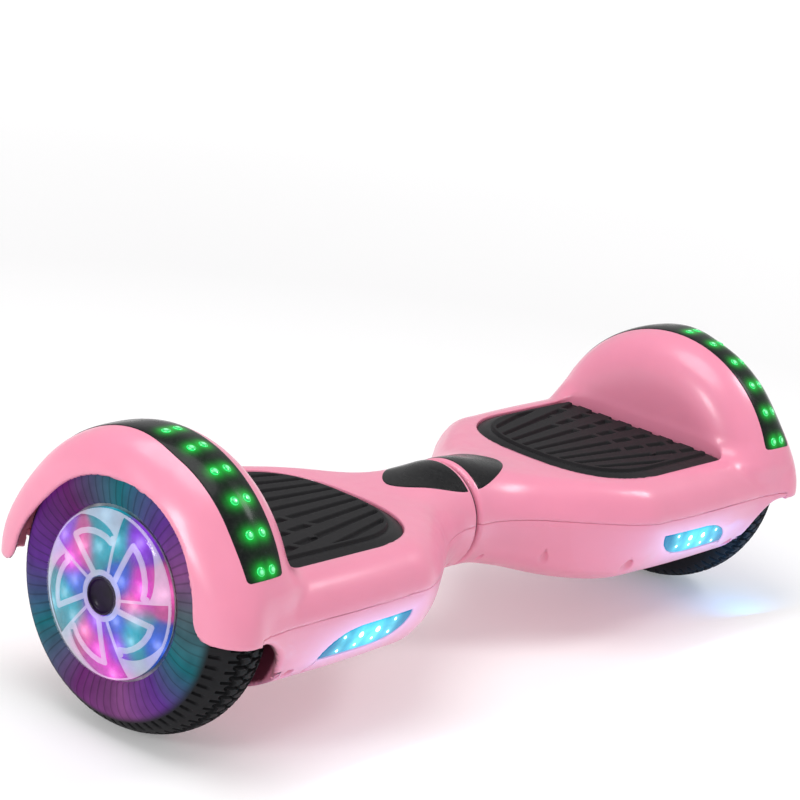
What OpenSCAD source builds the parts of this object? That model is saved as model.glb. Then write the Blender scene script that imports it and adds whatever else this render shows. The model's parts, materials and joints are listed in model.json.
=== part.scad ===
// Self-balancing hoverboard with two driven wheels.
// The two halves mirror each other in X and twist about one shaft on the wheel axis.
// X runs along the board, Y from front (-Y) to back (+Y), Z up. The origin is on the ground,
// under the middle of the twist joint. Lengths are in millimetres.

/* [Board] */
// Middle of the twist joint to a fender's outer face
half_length = 291.5; // [290:0.5:293]
// Front to back width of a deck
deck_w = 185; // [182:1:188]
// Height of a deck's top face
deck_z = 110; // [109:0.5:111]
// Ground clearance under a deck
belly_z = 33; // [32:0.5:34]
// Radius of the round neck between the decks
neck_r = 34.7; // [34:0.1:35.5]
// Gap between the two halves at the neck
neck_gap = 5; // [4:0.5:6]
// Wall thickness of the plastic shells
wall = 3; // [2.6:0.1:3.2]
// How far one half twists each way against the other, in degrees
twist_limit = 12; // [8:1:14]

/* [Wheel] */
// Outer radius of a tyre
tyre_r = 85; // [84:0.5:86]
// Width of a tyre
tyre_w = 48.5; // [47:0.5:48.5]
// Outer radius of a fender
fender_r = 93; // [92.5:0.5:94]
// Radius of the opening in a fender's outer face
fender_eye_r = 67; // [64:1:68]
// Radius of the light-up wheel disc
disc_r = 49; // [47:0.5:49.5]

/* [Controls] */
// Travel of a foot pad when it is stepped on
pad_travel = 1.5; // [1:0.1:1.8]
// Travel of the power button
button_travel = 1.5; // [1:0.1:2]
// Bore radius of the charging socket
charge_bore_r = 5.2; // [5:0.1:5.6]

/* [Hidden] */
SIDES = ["left", "right"];
PAIRED = [
    "upper_shell", "lower_shell", "frame", "axle_clamp", "clamp_screws", "axle", "stator_core",
    "stator_windings", "rotor_drum", "rotor_magnets", "motor_end_cover", "bearing_inner_rings",
    "bearing_outer_rings", "tyre", "wheel_light_board", "wheel_lens", "hub_cap", "foot_pad",
    "sensor_board", "fender_strip", "fender_leds", "headlight_lens", "headlight_leds",
    "neck_inlay", "shell_screws"
];
SINGLE = [
    "battery_pack", "main_board", "wiring_harness", "centre_shaft", "twist_bushes",
    "joint_hardware", "power_button", "power_switch", "charge_port", "charge_cap"
];
$fn = 48;

eps = 0.01;
axle_z = tyre_r;
half_w = deck_w / 2;
fit = 0.05;           // radial clearance of a close fit between hidden parts
board_t = 1.6;        // thickness of a circuit board
gap = 0.3;            // clearance of a trim piece in its recess

// Shells
seam_z = 88;          // height of the split between upper and lower shell
seam_gap = 0.2;
well_x = 225.5;       // deck side of the wheel well's wall
well_wall = 3.5;
well_r = 87;
section_n = 40;       // points round one cross-section of the body
loft_x = concat([for (x = [2.5 : 9 : 56.5]) x], [66, 76, 86, 96, 106, 114, 122]);

// Fender: one oval profile, turned about the axle, fuller on the deck side than on the outside
fender_x = 256.5;     // where the fender is widest
fender_x0 = 220.5;    // deck side of the fender
fender_base_r = 55;   // radius where the oval profile begins
fender_oval = [2.4, 1.75];   // exponent of the oval on the deck side and outside
fender_wall = 2.6;
fender_edge_z = 82.5;   // lower edge of the fender
fender_flare = 6;     // how far its lower edges splay, forward and back

// Foot pad
pad_outer_x = 220;
pad_inner_x = 85.3;
pad_bend_x = 150;     // where the pad's sides start to curve in
pad_half = 68;
pad_corner = 6;
pad_oval = 2.6;
pad_top_z = 113.4;
pad_floor_z = deck_z - 3;
pad_bottom_z = pad_floor_z + pad_travel + 0.1;
plunger_x = 150;
plunger_y = 35;
plunger_r = 4;
plunger_bottom_z = 99;

// Lights
strip_x0 = 243.5;
strip_x1 = 271.5;
strip_angles = [21, 159];   // above the horizon, from the front
strip_t = 1.6;
led_r = 2.8;
led_pitch_x = 9;
led_mid_x = 257;
led_angles = [for (i = [0 : 5]) 24.2 + 12.8 * i];
lamp_x0 = 129;        // inner tip of a headlight
lamp_x1 = 204;        // outer tip
lamp_z0 = 60;
lamp_z1 = 78;
lamp_face_y = -91.3;

// Neck inlay
inlay_x0 = 5;
inlay_x1 = 55;
inlay_half = 25.5;
inlay_oval = 1.7;
inlay_t = 1.6;

// Screws that hold the shells together: [x, y, height of the head's seat]
screw_sites = [[222.5, 80, 76], [108, 79, 76], [57, 48, 76], [17, 26.5, 76]];
counterbore_r = 4.6;
screw_head_r = 3.6;
screw_shank_r = 1.6;
boss_r = 6.2;
rib_sites = [122, 207];
rib_y = [82, 91];

// Wheel motor
drum_x0 = 240.2;
drum_x1 = 281.8;
drum_r = 61.9;
drum_bore = 57.5;
stator_r = 54;
stator_bore = 32;
stator_x = 260;       // middle of the lamination stack
stator_w = 26;
teeth = 27;
magnets = 30;
tyre_x0 = 238;        // deck side of the tyre
tyre_x = 258;         // where the tyre is widest
tyre_oval = [2.6, 1.8];      // exponent of the crown on the deck side and outside
tyre_bead_r = 62;
tyre_face_x = tyre_x0 + tyre_w;
bearing_in = [15, 35, 11, 240.3];   // bore, outside diameter, width, first face
bearing_out = [12, 28, 8, 268];
axle_x0 = 196;

// Wheel disc
hub_r = 11;
lens_x0 = drum_x1 + 3.2;
lens_edge_x = tyre_face_x + 1.5;
lens_top_x = tyre_face_x + 8;

// Frame and twist joint
plate_z = 87;
plate_t = 5;
plate_top_z = plate_z + plate_t;
saddle_z = axle_z + 0.4;    // lower face of the frame's half of the axle clamp
flange_x0 = 118;
flange_z0 = 50;
boss_x1 = 70;
boss_out_r = 19;
shaft_r = 14;
shaft_bore = 9;
bush_r = 16;
clamp_x0 = 197;
clamp_x1 = 222;
clamp_z = 70;         // underside of the clamp
axle_clamp_r = 9;

// Controls on the back of the right half
button_x = 150;
socket_x = 186;
control_z = 69;
pocket_y = 88;        // floor of the socket's pocket
button_r = 7;
button_face_y = 92;
switch_floor_y = 78;   // bottom of the switch's bore
cap_r = 10;
cap_hinge_z = control_z - 11.4;
cap_hinge_y = 90.3;

function smooth(a, b, x) = let (t = min(1, max(0, (x - a) / (b - a)))) t * t * (3 - 2 * t);
function mix(a, b, t) = a + (b - a) * t;
function ease(a, b, t) = mix(a, b, 0.5 - 0.5 * cos(180 * t));
function half_width(x) = mix(neck_r, half_w, smooth(5, 122, x));
function top_z(x) = mix(axle_z + neck_r, deck_z, smooth(10, 85, x));
function bottom_z(x) = mix(axle_z - neck_r, belly_z, smooth(5, 125, x));
function upper_n(x) = mix(2, 8, smooth(15, 110, x));
function lower_n(x) = mix(2, 3.4, smooth(15, 110, x));
function power(v, e) = sign(v) * pow(abs(v), e);

// Closed oval cross-section of the body at x, inset by d and flattened at the height cut
function section(x, d, cut) = [
    for (i = [0 : section_n - 1])
        let (a = 360 * (i + 0.5) / section_n, up = sin(a) >= 0,
             n = up ? upper_n(x) : lower_n(x),
             h = up ? top_z(x) - axle_z : axle_z - bottom_z(x))
        [x, (half_width(x) - d) * power(cos(a), 2 / n), min(cut, axle_z + (h - d) * power(sin(a), 2 / n))]
];

// Height of the body's upper skin at (x, y), inset by d
function skin_z(x, y, d) =
    let (n = upper_n(x), u = min(1, abs(y) / (half_width(x) - d)))
    axle_z + (top_z(x) - axle_z - d) * pow(1 - pow(u, n), 1 / n);

// Quarter of an oval: its height, from 1 to 0, as u goes from 0 to 1
function oval(u, n) = pow(1 - pow(min(1, abs(u)), n), 1 / n);

// Radius of the fender's skin at x, inset by d
function fender_skin(x, d) =
    let (out = x > fender_x ? 1 : 0, half = out == 1 ? half_length - fender_x : fender_x - fender_x0)
    fender_base_r + (fender_r - fender_base_r - d) * oval((x - fender_x) / (half - d), fender_oval[out]);

// Foot pad seen from above, grown by d: half an oval towards the neck, rounded corners at the wheel
function pad_outline(d) =
    let (
        a = pad_bend_x - pad_inner_x + d,
        b = pad_half + d,
        c = [pad_outer_x - pad_corner, pad_half - pad_corner],
        e = 2 / pad_oval
    )
    concat(
        [for (t = [90 : -6 : -90]) [pad_bend_x - a * power(cos(t), e), b * power(sin(t), e)]],
        [for (t = [-90 : 30 : 0]) [c[0], -c[1]] + (pad_corner + d) * [cos(t), sin(t)]],
        [for (t = [0 : 30 : 90]) c + (pad_corner + d) * [cos(t), sin(t)]]
    );

function inlay_half_at(x) =
    inlay_half * pow(1 - pow((x - inlay_x0) / (inlay_x1 - inlay_x0), inlay_oval), 1 / inlay_oval);

// Leaf outline of a headlight, in X and Z: two opposite corners are sharp and two are round
function lamp_outline(d) =
    let (h = lamp_z1 - lamp_z0 + 2 * d, run = 34, x0 = lamp_x0 - d, x1 = lamp_x1 + d)
    concat(
        [for (t = [0 : 15 : 90]) [x1 - run * (1 - cos(t)), lamp_z0 - d + h * sin(t)]],
        [for (t = [0 : 15 : 90]) [x0 + run * (1 - cos(t)), lamp_z1 + d - h * sin(t)]]
    );

// What the lower shell leaves open at its outer end, seen from the front: a quarter curve round the wheel
arch_opening = concat(
    [[300, 20], [232.5, 20]],
    [for (t = [0 : 15 : 90]) [232.5 + 28 * (1 - cos(t)), 54 + 30 * sin(t)]],
    [[260.5, 100], [300, 100]]
);

module on_side(side) {
    if (side == "left") mirror([1, 0, 0]) children();
    else children();
}

// Local Z runs outwards along the wheel axis from x
module along_axle(x = 0) translate([x, 0, axle_z]) rotate([0, 90, 0]) children();

// Local Z points out from the axle, e degrees above the horizon from the front
module radial(x, e) translate([x, 0, axle_z]) rotate([90 - e, 0, 0]) children();

module ring(x, r_out, r_in, length) {
    along_axle(x) difference() {
        cylinder(r = r_out, h = length);
        translate([0, 0, -1]) cylinder(r = r_in, h = length + 2);
    }
}

// Closed solid through the body's cross-sections at each x
module loft(xs, d, cut) {
    n = section_n;
    last = (len(xs) - 1) * n;
    polyhedron(
        [for (x = xs) each section(x, d, cut)],
        concat(
            [[for (j = [0 : n - 1]) j]],
            [for (i = [0 : len(xs) - 2]) for (j = [0 : n - 1])
                let (k = (j + 1) % n, a = i * n, b = a + n)
                each [[a + j, b + j, b + k], [a + j, b + k, a + k]]],
            [[for (j = [n - 1 : -1 : 0]) last + j]]
        )
    );
}

// Body without its fender, from x0 to x1, inset by d and cut off flat at the height cut
module body(x0, x1, d = 0, cut = 200) {
    loft(concat([x0], [for (x = loft_x) if (x > x0) x], [x1]), d, cut);
}

// Oval fender profile as [radius, distance from the board's middle], inset by d
function fender_profile(x0, x1, d, steps = 14) =
    concat(
        [[0, x0]],
        [for (i = [0 : steps]) let (x = ease(x0, x1, i / steps)) [fender_skin(x, d), x]],
        [[0, x1]]
    );

// Turned profile together with copies of it moved down and out, which splay its lower edges
module flared(x0, x1, d) {
    for (s = [-1, 0, 1]) translate([0, s * fender_flare, -abs(s) * fender_flare])
        along_axle() rotate_extrude($fn = 60) polygon(fender_profile(x0, x1, d));
}

// How much the splay adds to the fender's radius at an angle above the horizon
function splay(e) =
    let (m = fender_flare * (abs(cos(e)) - sin(e)))
    m > 0 ? m + sqrt(pow(fender_r, 2) - 2 * pow(fender_flare, 2) + m * m) - fender_r : 0;

// Fender above its lower edge
module fender(x0, x1, d = 0, z0 = fender_edge_z) {
    intersection() {
        flared(x0, x1, d);
        translate([0, -150, z0]) cube([400, 300, 200]);
    }
}

module extrude_y(y0, y1) translate([0, y1, 0]) rotate([90, 0, 0]) linear_extrude(y1 - y0) children();

// Patch of the neck's upper skin between two insets, inside the inlay's outline grown by grow
module neck_patch(d_out, d_in, grow) {
    nx = 14;
    ny = 12;
    xs = [for (i = [0 : nx]) mix(inlay_x0 - grow, inlay_x1 - 0.4 + grow, sin(90 * i / nx))];
    sheet = function (d) [
        for (x = xs) for (j = [0 : ny])
            let (h = inlay_half_at(min(max(x, inlay_x0), inlay_x1 - 0.4)) + grow, y = h * (2 * j / ny - 1))
            [x, y, skin_z(x, y, 0) - d]
    ];
    m = ny + 1;
    size = (nx + 1) * m;
    rim = concat(
        [for (i = [0 : nx - 1]) i * m], [for (j = [0 : ny - 1]) nx * m + j],
        [for (i = [nx : -1 : 1]) i * m + ny], [for (j = [ny : -1 : 1]) j]
    );
    polyhedron(
        concat(sheet(d_out), sheet(d_in)),
        concat(
            [for (i = [0 : nx - 1]) for (j = [0 : ny - 1])
                let (a = i * m + j, b = a + m) each [[a, b + 1, b], [a, a + 1, b + 1]]],
            [for (i = [0 : nx - 1]) for (j = [0 : ny - 1])
                let (a = size + i * m + j, b = a + m) each [[a, b, b + 1], [a, b + 1, a + 1]]],
            [for (k = [0 : len(rim) - 1])
                let (p = rim[k], q = rim[(k + 1) % len(rim)])
                each [[p, q, q + size], [p, q + size, p + size]]]
        )
    );
}

module at_screws() for (s = screw_sites) for (y = [-1, 1]) translate([s[0], y * s[1], 0]) children();

// Stiffening ribs inside the deck's front and back walls
module shell_ribs(z0, z1) {
    for (x = rib_sites) for (y = [-rib_y[1], rib_y[0]]) translate([x - 1, y, z0])
        cube([2, rib_y[1] - rib_y[0], z1 - z0]);
}

module upper_shell() {
    color("lightpink") difference() {
        union() {
            difference() {
                union() {
                    body(neck_gap / 2, fender_x);
                    fender(fender_x0, half_length);
                }
                // hollow deck, with a floor kept under the foot pad
                difference() {
                    body(0, well_x, wall);
                    translate([0, 0, pad_floor_z - wall]) linear_extrude(10) polygon(pad_outline(3));
                }
                // wheel well
                fender(well_x + well_wall, half_length - fender_wall, fender_wall, 0);
            }
            intersection() {
                union() {
                    shell_ribs(seam_z, 106);
                    at_screws() translate([0, 0, seam_z]) cylinder(r = boss_r - 1.5, h = 24, $fn = 14);
                }
                body(neck_gap / 2 + 1, well_x + 1, 1);
            }
        }
        along_axle(half_length - 12) cylinder(r = fender_eye_r, h = 20, $fn = 60);
        along_axle(well_x - 5) cylinder(r = 13, h = 12, $fn = 24);
        // split line: the fender hangs a little lower than the deck
        translate([-1, -150, -100]) cube([262, 300, 100 + seam_z + seam_gap / 2]);
        translate([-1, -150, -100]) cube([400, 300, 100 + fender_edge_z]);
        translate([0, 0, pad_floor_z]) linear_extrude(20) polygon(pad_outline(0.4));
        for (y = [-1, 1]) translate([plunger_x, y * plunger_y, 90]) cylinder(r = plunger_r + 0.8, h = 30);
        strip_bar(strip_t + 0.2, -3, 2 * gap);
        neck_patch(-4, inlay_t + 0.2, gap);
        at_screws() translate([0, 0, seam_z - 1]) cylinder(r = screw_shank_r + 0.3, h = 10.5, $fn = 14);
    }
}

// Curved bar of the light strip from depth d_in to depth d_out, grown by grow at its sides
module strip_bar(d_in, d_out, grow = 0) {
    span = strip_angles[1] - strip_angles[0] + grow;
    intersection() {
        difference() {
            flared(strip_x0 - grow, strip_x1 + grow, d_out);
            flared(strip_x0 - 2, strip_x1 + 2, d_in);
        }
        along_axle(strip_x0 - 5) rotate([0, 0, 270 - strip_angles[1] - grow / 2])
            linear_extrude(strip_x1 - strip_x0 + 10)
                polygon([[0, 0], [200, 0], 250 * [cos(span / 2), sin(span / 2)], 200 * [cos(span), sin(span)]]);
    }
}

module lower_shell(side) {
    color("lightpink") difference() {
        union() {
            difference() {
                body(neck_gap / 2, 262, 0, seam_z - seam_gap / 2);
                body(0, well_x, wall, seam_z + 1);
                extrude_y(-160, 160) polygon(arch_opening);
                along_axle(well_x + well_wall) cylinder(r = well_r, h = 60, $fn = 60);
            }
            intersection() {
                union() {
                    shell_ribs(40, seam_z);
                    at_screws() cylinder(r = boss_r, h = seam_z, $fn = 14);
                    if (side == "right") control_bosses();
                }
                body(neck_gap / 2 + 1, well_x + 1, 1, seam_z - seam_gap / 2 - 0.2);
            }
        }
        extrude_y(-110, -80) polygon(lamp_outline(gap));
        along_axle(well_x - 5) cylinder(r = 13, h = 12, $fn = 24);
        for (s = screw_sites) for (y = [-1, 1]) translate([s[0], y * s[1], 0]) {
            cylinder(r = counterbore_r, h = s[2], $fn = 16);
            cylinder(r = screw_shank_r + 0.3, h = 100, $fn = 14);
        }
        if (side == "right") control_holes();
    }
}

module toward_back(x, y, z = control_z) translate([x, y, z]) rotate([-90, 0, 0]) children();

// Round-ended slot outline, drop longer than it is wide
module slot(r, drop) {
    circle(r = r);
    translate([0, drop]) circle(r = r);
    translate([-r, 0]) square([2 * r, drop]);
}

module control_bosses() {
    toward_back(button_x, 84) cylinder(r = 11, h = 20);
    toward_back(socket_x, 84.5) linear_extrude(20) slot(15, 5);
}

module control_holes() {
    toward_back(button_x, 60) cylinder(r = button_r + 1.7, h = 60);
    toward_back(socket_x, 60) cylinder(r = 7.3, h = 60);
    toward_back(socket_x, pocket_y) linear_extrude(20) slot(12, 2);
}

// Cast frame: a ribbed plate with a tube for the twist shaft and a saddle for the axle
module frame(side) {
    boss_bore = side == "left" ? shaft_r + fit : bush_r + fit;
    outline = [[30, 12], [72, 30], [112, 66], [clamp_x1, 66]];
    plan = concat(outline, [for (i = [len(outline) - 1 : -1 : 0]) [outline[i][0], -outline[i][1]]]);
    color("silver") difference() {
        union() {
            translate([0, 0, plate_z]) linear_extrude(plate_t) polygon(plan);
            for (y = [-68, 68]) translate([flange_x0, y - 2, flange_z0])
                cube([clamp_x1 - flange_x0, 4, plate_top_z - flange_z0]);
            // heat spreader under the main board
            if (side == "right") translate([flange_x0, -70, flange_z0 - 4 + eps]) cube([80, 140, 4]);
            along_axle(1.2) cylinder(r = boss_out_r, h = boss_x1 - 1.2);
            translate([clamp_x0, -26, saddle_z]) cube([clamp_x1 - clamp_x0, 52, plate_top_z - saddle_z]);
        }
        along_axle(0) cylinder(r = boss_bore, h = boss_x1 + 1);
        along_axle(boss_x1) cylinder(r = shaft_r + 6, h = 14);
        along_axle(clamp_x0 - 1) cylinder(r = axle_clamp_r + fit, h = 40);
        for (p = clamp_bolts()) translate([p[0], p[1], 60]) cylinder(r = 2.6, h = 50);
        for (x = [130, 160, 180]) for (y = [-1, 1]) translate([x, y * 30, 80]) cylinder(r = 9, h = 20);
        if (side == "right") stop_slot();
    }
}

function clamp_bolts() = [for (x = [clamp_x0 + 6, clamp_x1 - 6]) for (y = [-18, 18]) [x, y]];

// Slot that the stop pin swings in
module stop_slot() {
    swing = twist_limit + 12;
    along_axle(36) rotate([0, 0, 180 - swing])
        rotate_extrude(angle = 2 * swing) translate([10, 0]) square([14, 8]);
}

module axle_clamp() {
    color("silver") difference() {
        translate([clamp_x0, -26, clamp_z]) cube([clamp_x1 - clamp_x0, 52, axle_z - 0.4 - clamp_z]);
        along_axle(clamp_x0 - 1) cylinder(r = axle_clamp_r + fit, h = 40);
        for (p = clamp_bolts()) translate([p[0], p[1], 60]) cylinder(r = 2.6, h = 50);
    }
}

// Hexagon-socket screw with its head at the origin and its shank along +Z
module socket_screw(r, length, head_r, head_h) {
    difference() {
        union() {
            translate([0, 0, -head_h]) cylinder(r = head_r, h = head_h + eps);
            cylinder(r = r, h = length);
        }
        translate([0, 0, -head_h - 1]) cylinder(r = head_r * 0.5, h = head_h * 0.6 + 1, $fn = 6);
    }
}

module clamp_screws() {
    color("dimgray") for (p = clamp_bolts()) translate([p[0], p[1], clamp_z - 2 * eps])
        socket_screw(2.5, 24, 4.2, 4.5);
}

module axle() {
    color("darkgray") along_axle() rotate_extrude() polygon([
        [3.2, axle_x0], [axle_clamp_r, axle_x0], [axle_clamp_r, 236], [bearing_in[0] / 2, 236],
        [bearing_in[0] / 2, 266], [bearing_out[0] / 2, 266], [bearing_out[0] / 2, 277.5],
        [0, 277.5], [0, 243], [3.2, 243]
    ]);
}

module stator_core() {
    // one winding slot, widening outwards to a narrow mouth at the rim
    flank = [[36, -2.2], [50.5, -3.7], [51.5, -3], [51.5, -0.9], [56, -0.9]];
    slot = concat(flank, [for (i = [len(flank) - 1 : -1 : 0]) [flank[i][0], -flank[i][1]]]);
    color("dimgray") {
        along_axle(stator_x - stator_w / 2) linear_extrude(stator_w) difference() {
            circle(r = stator_r);
            circle(r = stator_bore);
            for (i = [0 : teeth - 1]) rotate(360 * (i + 0.5) / teeth) polygon(slot);
        }
        along_axle(stator_x - 3) linear_extrude(7) difference() {
            circle(r = stator_bore - fit);
            circle(r = bearing_in[0] / 2 + fit);
            for (i = [0 : 5]) rotate(60 * i) translate([20, 0]) circle(r = 5);
        }
    }
}

module stator_windings() {
    side_w = 1.5;
    overhang = 2.6;
    tooth = 4.4;
    color("peru") along_axle(stator_x) for (a = [0 : 360 / teeth : 359]) rotate([0, 0, a]) difference() {
        translate([37.4, -tooth / 2 - side_w, -stator_w / 2 - overhang])
            cube([12.6, tooth + 2 * side_w, stator_w + 2 * overhang]);
        translate([30, -tooth / 2, -stator_w / 2 - 0.1]) cube([30, tooth, stator_w + 0.2]);
    }
}

module rotor_drum() {
    boss = bearing_out[1] / 2 + fit;
    color("gainsboro") along_axle() rotate_extrude() polygon([
        [drum_bore, drum_x0], [drum_r, drum_x0], [drum_r, drum_x1], [0, drum_x1], [0, 278.6],
        [boss, 278.6], [boss, 267.5], [boss + 4, 267.5], [boss + 4, 278.6], [drum_bore, 278.6]
    ]);
}

module rotor_magnets() {
    share = 11.2;
    color("slategray") along_axle(stator_x - stator_w / 2) for (i = [0 : magnets - 1])
        rotate([0, 0, 360 * i / magnets]) rotate_extrude(angle = share)
            translate([54.7, 0]) square([drum_bore - fit - 54.7, stator_w]);
}

module motor_end_cover() {
    seat = bearing_in[1] / 2 + fit;
    color("gainsboro") difference() {
        along_axle() rotate_extrude() polygon([
            [10, 237.2], [drum_r, 237.2], [drum_r, drum_x0 - 0.02], [drum_bore - 4, drum_x0 - 0.02],
            [seat + 4, drum_x0 + 0.5], [seat + 4, 251], [seat, 251], [seat, drum_x0], [10, drum_x0]
        ]);
        along_axle(236) for (a = [0 : 60 : 300]) rotate([0, 0, a])
            translate([55, 0, 0]) cylinder(r = 1.8, h = 10);
    }
}

// Both races of one deep-groove bearing; which = "inner" or "outer"
module bearing_ring(b, which) {
    bore_r = b[0] / 2;
    out_r = b[1] / 2;
    mid_r = (bore_r + out_r) / 2;
    ball_r = (out_r - bore_r) * 0.29;
    land = (out_r - bore_r) * 0.3;
    along_axle(b[3]) rotate_extrude() difference() {
        if (which == "inner") translate([bore_r + fit, 0]) square([land, b[2]]);
        else translate([out_r - land, 0]) square([land, b[2]]);
        translate([mid_r, b[2] / 2]) circle(r = ball_r + 0.08);
    }
}

module bearing_balls(b) {
    mid_r = (b[0] + b[1]) / 4;
    ball_r = (b[1] - b[0]) / 2 * 0.29;
    along_axle(b[3] + b[2] / 2) for (i = [0 : 7]) rotate([0, 0, 45 * i])
        translate([mid_r, 0, 0]) sphere(r = ball_r);
}

module bearing_inner_rings() {
    color("lightsteelblue") for (b = [bearing_in, bearing_out]) {
        bearing_ring(b, "inner");
        bearing_balls(b);
    }
}

module bearing_outer_rings() {
    color("lightsteelblue") for (b = [bearing_in, bearing_out]) bearing_ring(b, "outer");
}

// Radius of the tyre's crown at x
function tyre_skin(x) =
    let (outside = x > tyre_x, half = outside ? tyre_face_x - tyre_x : tyre_x - tyre_x0)
    tyre_bead_r + (tyre_r - tyre_bead_r) * oval((x - tyre_x) / half, tyre_oval[outside ? 1 : 0]);

// Solid tyre with an oval crown, its outer bead lapping the drum's face
module tyre() {
    crown = [for (i = [0 : 18]) let (x = ease(tyre_x0, tyre_face_x, i / 18)) [tyre_skin(x), x]];
    bead = [[disc_r + 1.4, tyre_face_x], [disc_r + 1.4, drum_x1 + 0.1], [tyre_bead_r, drum_x1 + 0.1]];
    color([0.08, 0.08, 0.09]) difference() {
        along_axle() rotate_extrude() polygon(concat([[tyre_bead_r, drum_x0]], crown, bead));
        for (x = [-9, -3, 3, 9]) ring(tyre_x + x - 0.7, tyre_r + 2, tyre_r - 2.4, 1.4);
    }
}

module wheel_light_board() {
    color("white") {
        ring(drum_x1 + 0.3, disc_r - 2, 14, 1.2);
        along_axle(drum_x1 + 1.5 + eps) for (i = [0 : 14]) rotate([0, 0, 24 * i])
            translate([i % 3 == 1 ? 22 : 36, -2, 0]) cube([4, 4, 0.9]);
    }
}

// Domed clear disc with a hole for the hub cap
module wheel_lens() {
    dome = [for (t = [0 : 9 : 90]) [mix(hub_r + 0.2, disc_r, sin(t)), mix(lens_edge_x, lens_top_x, cos(t))]];
    color([0.75, 0.6, 0.95, 0.6]) along_axle() rotate_extrude()
        polygon(concat([[hub_r + 0.2, lens_x0]], dome, [[disc_r, lens_x0]]));
}

module hub_cap() {
    color([0.05, 0.05, 0.06]) along_axle() rotate_extrude() polygon([
        [0, lens_x0], [hub_r, lens_x0], [hub_r, lens_top_x - 0.6], [hub_r - 1.4, lens_top_x - 0.6],
        [hub_r - 2.4, lens_top_x - 4], [0, lens_top_x - 4.6]
    ]);
}

module foot_pad() {
    groove_z = pad_top_z - 1.6;
    color([0.1, 0.1, 0.1]) difference() {
        union() {
            translate([0, 0, pad_bottom_z]) linear_extrude(pad_top_z - pad_bottom_z) polygon(pad_outline(0));
            for (y = [-1, 1]) translate([plunger_x, y * plunger_y, plunger_bottom_z])
                cylinder(r = plunger_r, h = pad_bottom_z - plunger_bottom_z + 1);
        }
        for (i = [-4 : 4]) translate([0, 0, groove_z]) linear_extrude(5)
            polygon([[102, i * 8.2 - 0.6], [212, i * 13 - 1.2], [212, i * 13 + 1.2], [102, i * 8.2 + 0.6]]);
    }
}

module sensor_board() {
    board_z = 95;
    color("darkgreen") {
        translate([112, -52, board_z]) cube([78, 104, board_t]);
        for (x = [116, 186]) for (y = [-48, 48]) translate([x, y, plate_top_z + eps])
            cylinder(r = 3, h = board_z - plate_top_z - 2 * eps);
        for (x = [plunger_x - 9.3, plunger_x + 5.7]) for (y = [-plunger_y, plunger_y])
            translate([x, y - 4, board_z + board_t + eps]) cube([3.6, 8, 5]);
        translate([164, -6, board_z + board_t + eps]) cube([12, 12, 1.4]);
    }
}

module fender_strip() {
    color([0.03, 0.03, 0.03]) difference() {
        strip_bar(strip_t, 0);
        at_leds() translate([0, 0, -6]) cylinder(r = led_r + 0.15, h = 12);
    }
}

// Children on the fender's skin at each lamp of the strip
module at_leds() {
    for (e = led_angles) for (s = [-0.5, 0.5])
        radial(led_mid_x + s * led_pitch_x, e) translate([0, 0, fender_r + splay(e)]) children();
}

module fender_leds() {
    color("lime") at_leds() translate([0, 0, -strip_t]) cylinder(r = led_r, h = strip_t - 0.3);
}

module headlight_lens() {
    color("deepskyblue") extrude_y(lamp_face_y, lamp_face_y + 2.4) polygon(lamp_outline(0));
}

module headlight_leds() {
    y0 = lamp_face_y + 2.7;
    color("white") {
        translate([147, y0 + 1.2, 63]) cube([39, 1.2, 12]);
        for (x = [150 : 8 : 182]) for (z = [66, 72])
            translate([x - 1.5, y0, z - 1.5]) cube([3, 1.2 - eps, 3]);
    }
}

module neck_inlay() {
    color([0.03, 0.03, 0.03]) neck_patch(0, inlay_t, 0);
}

module shell_screws() {
    color("dimgray") for (s = screw_sites) for (y = [-1, 1]) translate([s[0], y * s[1], s[2] - 0.1]) {
        difference() {
            union() {
                translate([0, 0, -2.2]) cylinder(r = screw_head_r, h = 2.2 + eps);
                cylinder(r = screw_shank_r, h = 96 - s[2]);
            }
            for (a = [0, 90]) rotate([0, 0, a]) translate([-2, -0.5, -3]) cube([4, 1, 2]);
        }
    }
}

// Twenty round cells, two layers of five by two, in one wrap
module battery_pack() {
    cell = 18.4;
    cells = 5;
    color("royalblue") mirror([1, 0, 0]) translate([100, 0, 47.4]) {
        rotate([90, 0, 0]) linear_extrude(130, center = true) {
            translate([cell / 2, 0]) square([cell * (cells - 1), 2 * cell]);
            for (x = [0.5, cells - 0.5]) for (z = [0.5, 1.5]) translate([x, z] * cell) circle(r = cell / 2);
            translate([0, cell / 2]) square([cell * cells, cell]);
        }
    }
}

module main_board() {
    board_z = 78;
    color("darkgreen") {
        translate([98, -50, board_z]) cube([90, 100, board_t]);
        for (x = [102, 184]) for (y = [-46, 46]) translate([x, y, board_z + board_t + eps])
            cylinder(r = 3, h = plate_z - board_z - board_t - 2 * eps);
        for (x = [0 : 5]) translate([112 + 11 * x, -44, board_z - 5 - eps]) cube([9, 16, 5]);
        for (y = [-8, 14]) translate([112, y + 6, board_z - 20 - eps]) cylinder(r = 8, h = 20);
        translate([140, -8, board_z - 2.6 - eps]) cube([16, 16, 2.6]);
        translate([168, 4, board_z - 9 - eps]) cube([14, 34, 9]);
    }
}

// Power and signal cable through the hollow shaft, turning down to a plug at each end
module wiring_harness() {
    r = 4;
    z = axle_z - shaft_bore + r + 0.5;
    run = 80;
    bend = 9;
    color("darkred") {
        translate([-run, 0, z]) rotate([0, 90, 0]) cylinder(r = r, h = 2 * run);
        for (end = [0, 1]) mirror([end, 0, 0]) {
            translate([run, 0, z - bend]) rotate([90, 0, 0])
                rotate_extrude(angle = 90) translate([bend, 0]) circle(r = r);
            translate([run + bend, 0, z - bend - 4]) cylinder(r = r, h = 4);
            translate([run + bend - 5, -8, z - bend - 12]) cube([10, 16, 8 + eps]);
        }
    }
}

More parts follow.
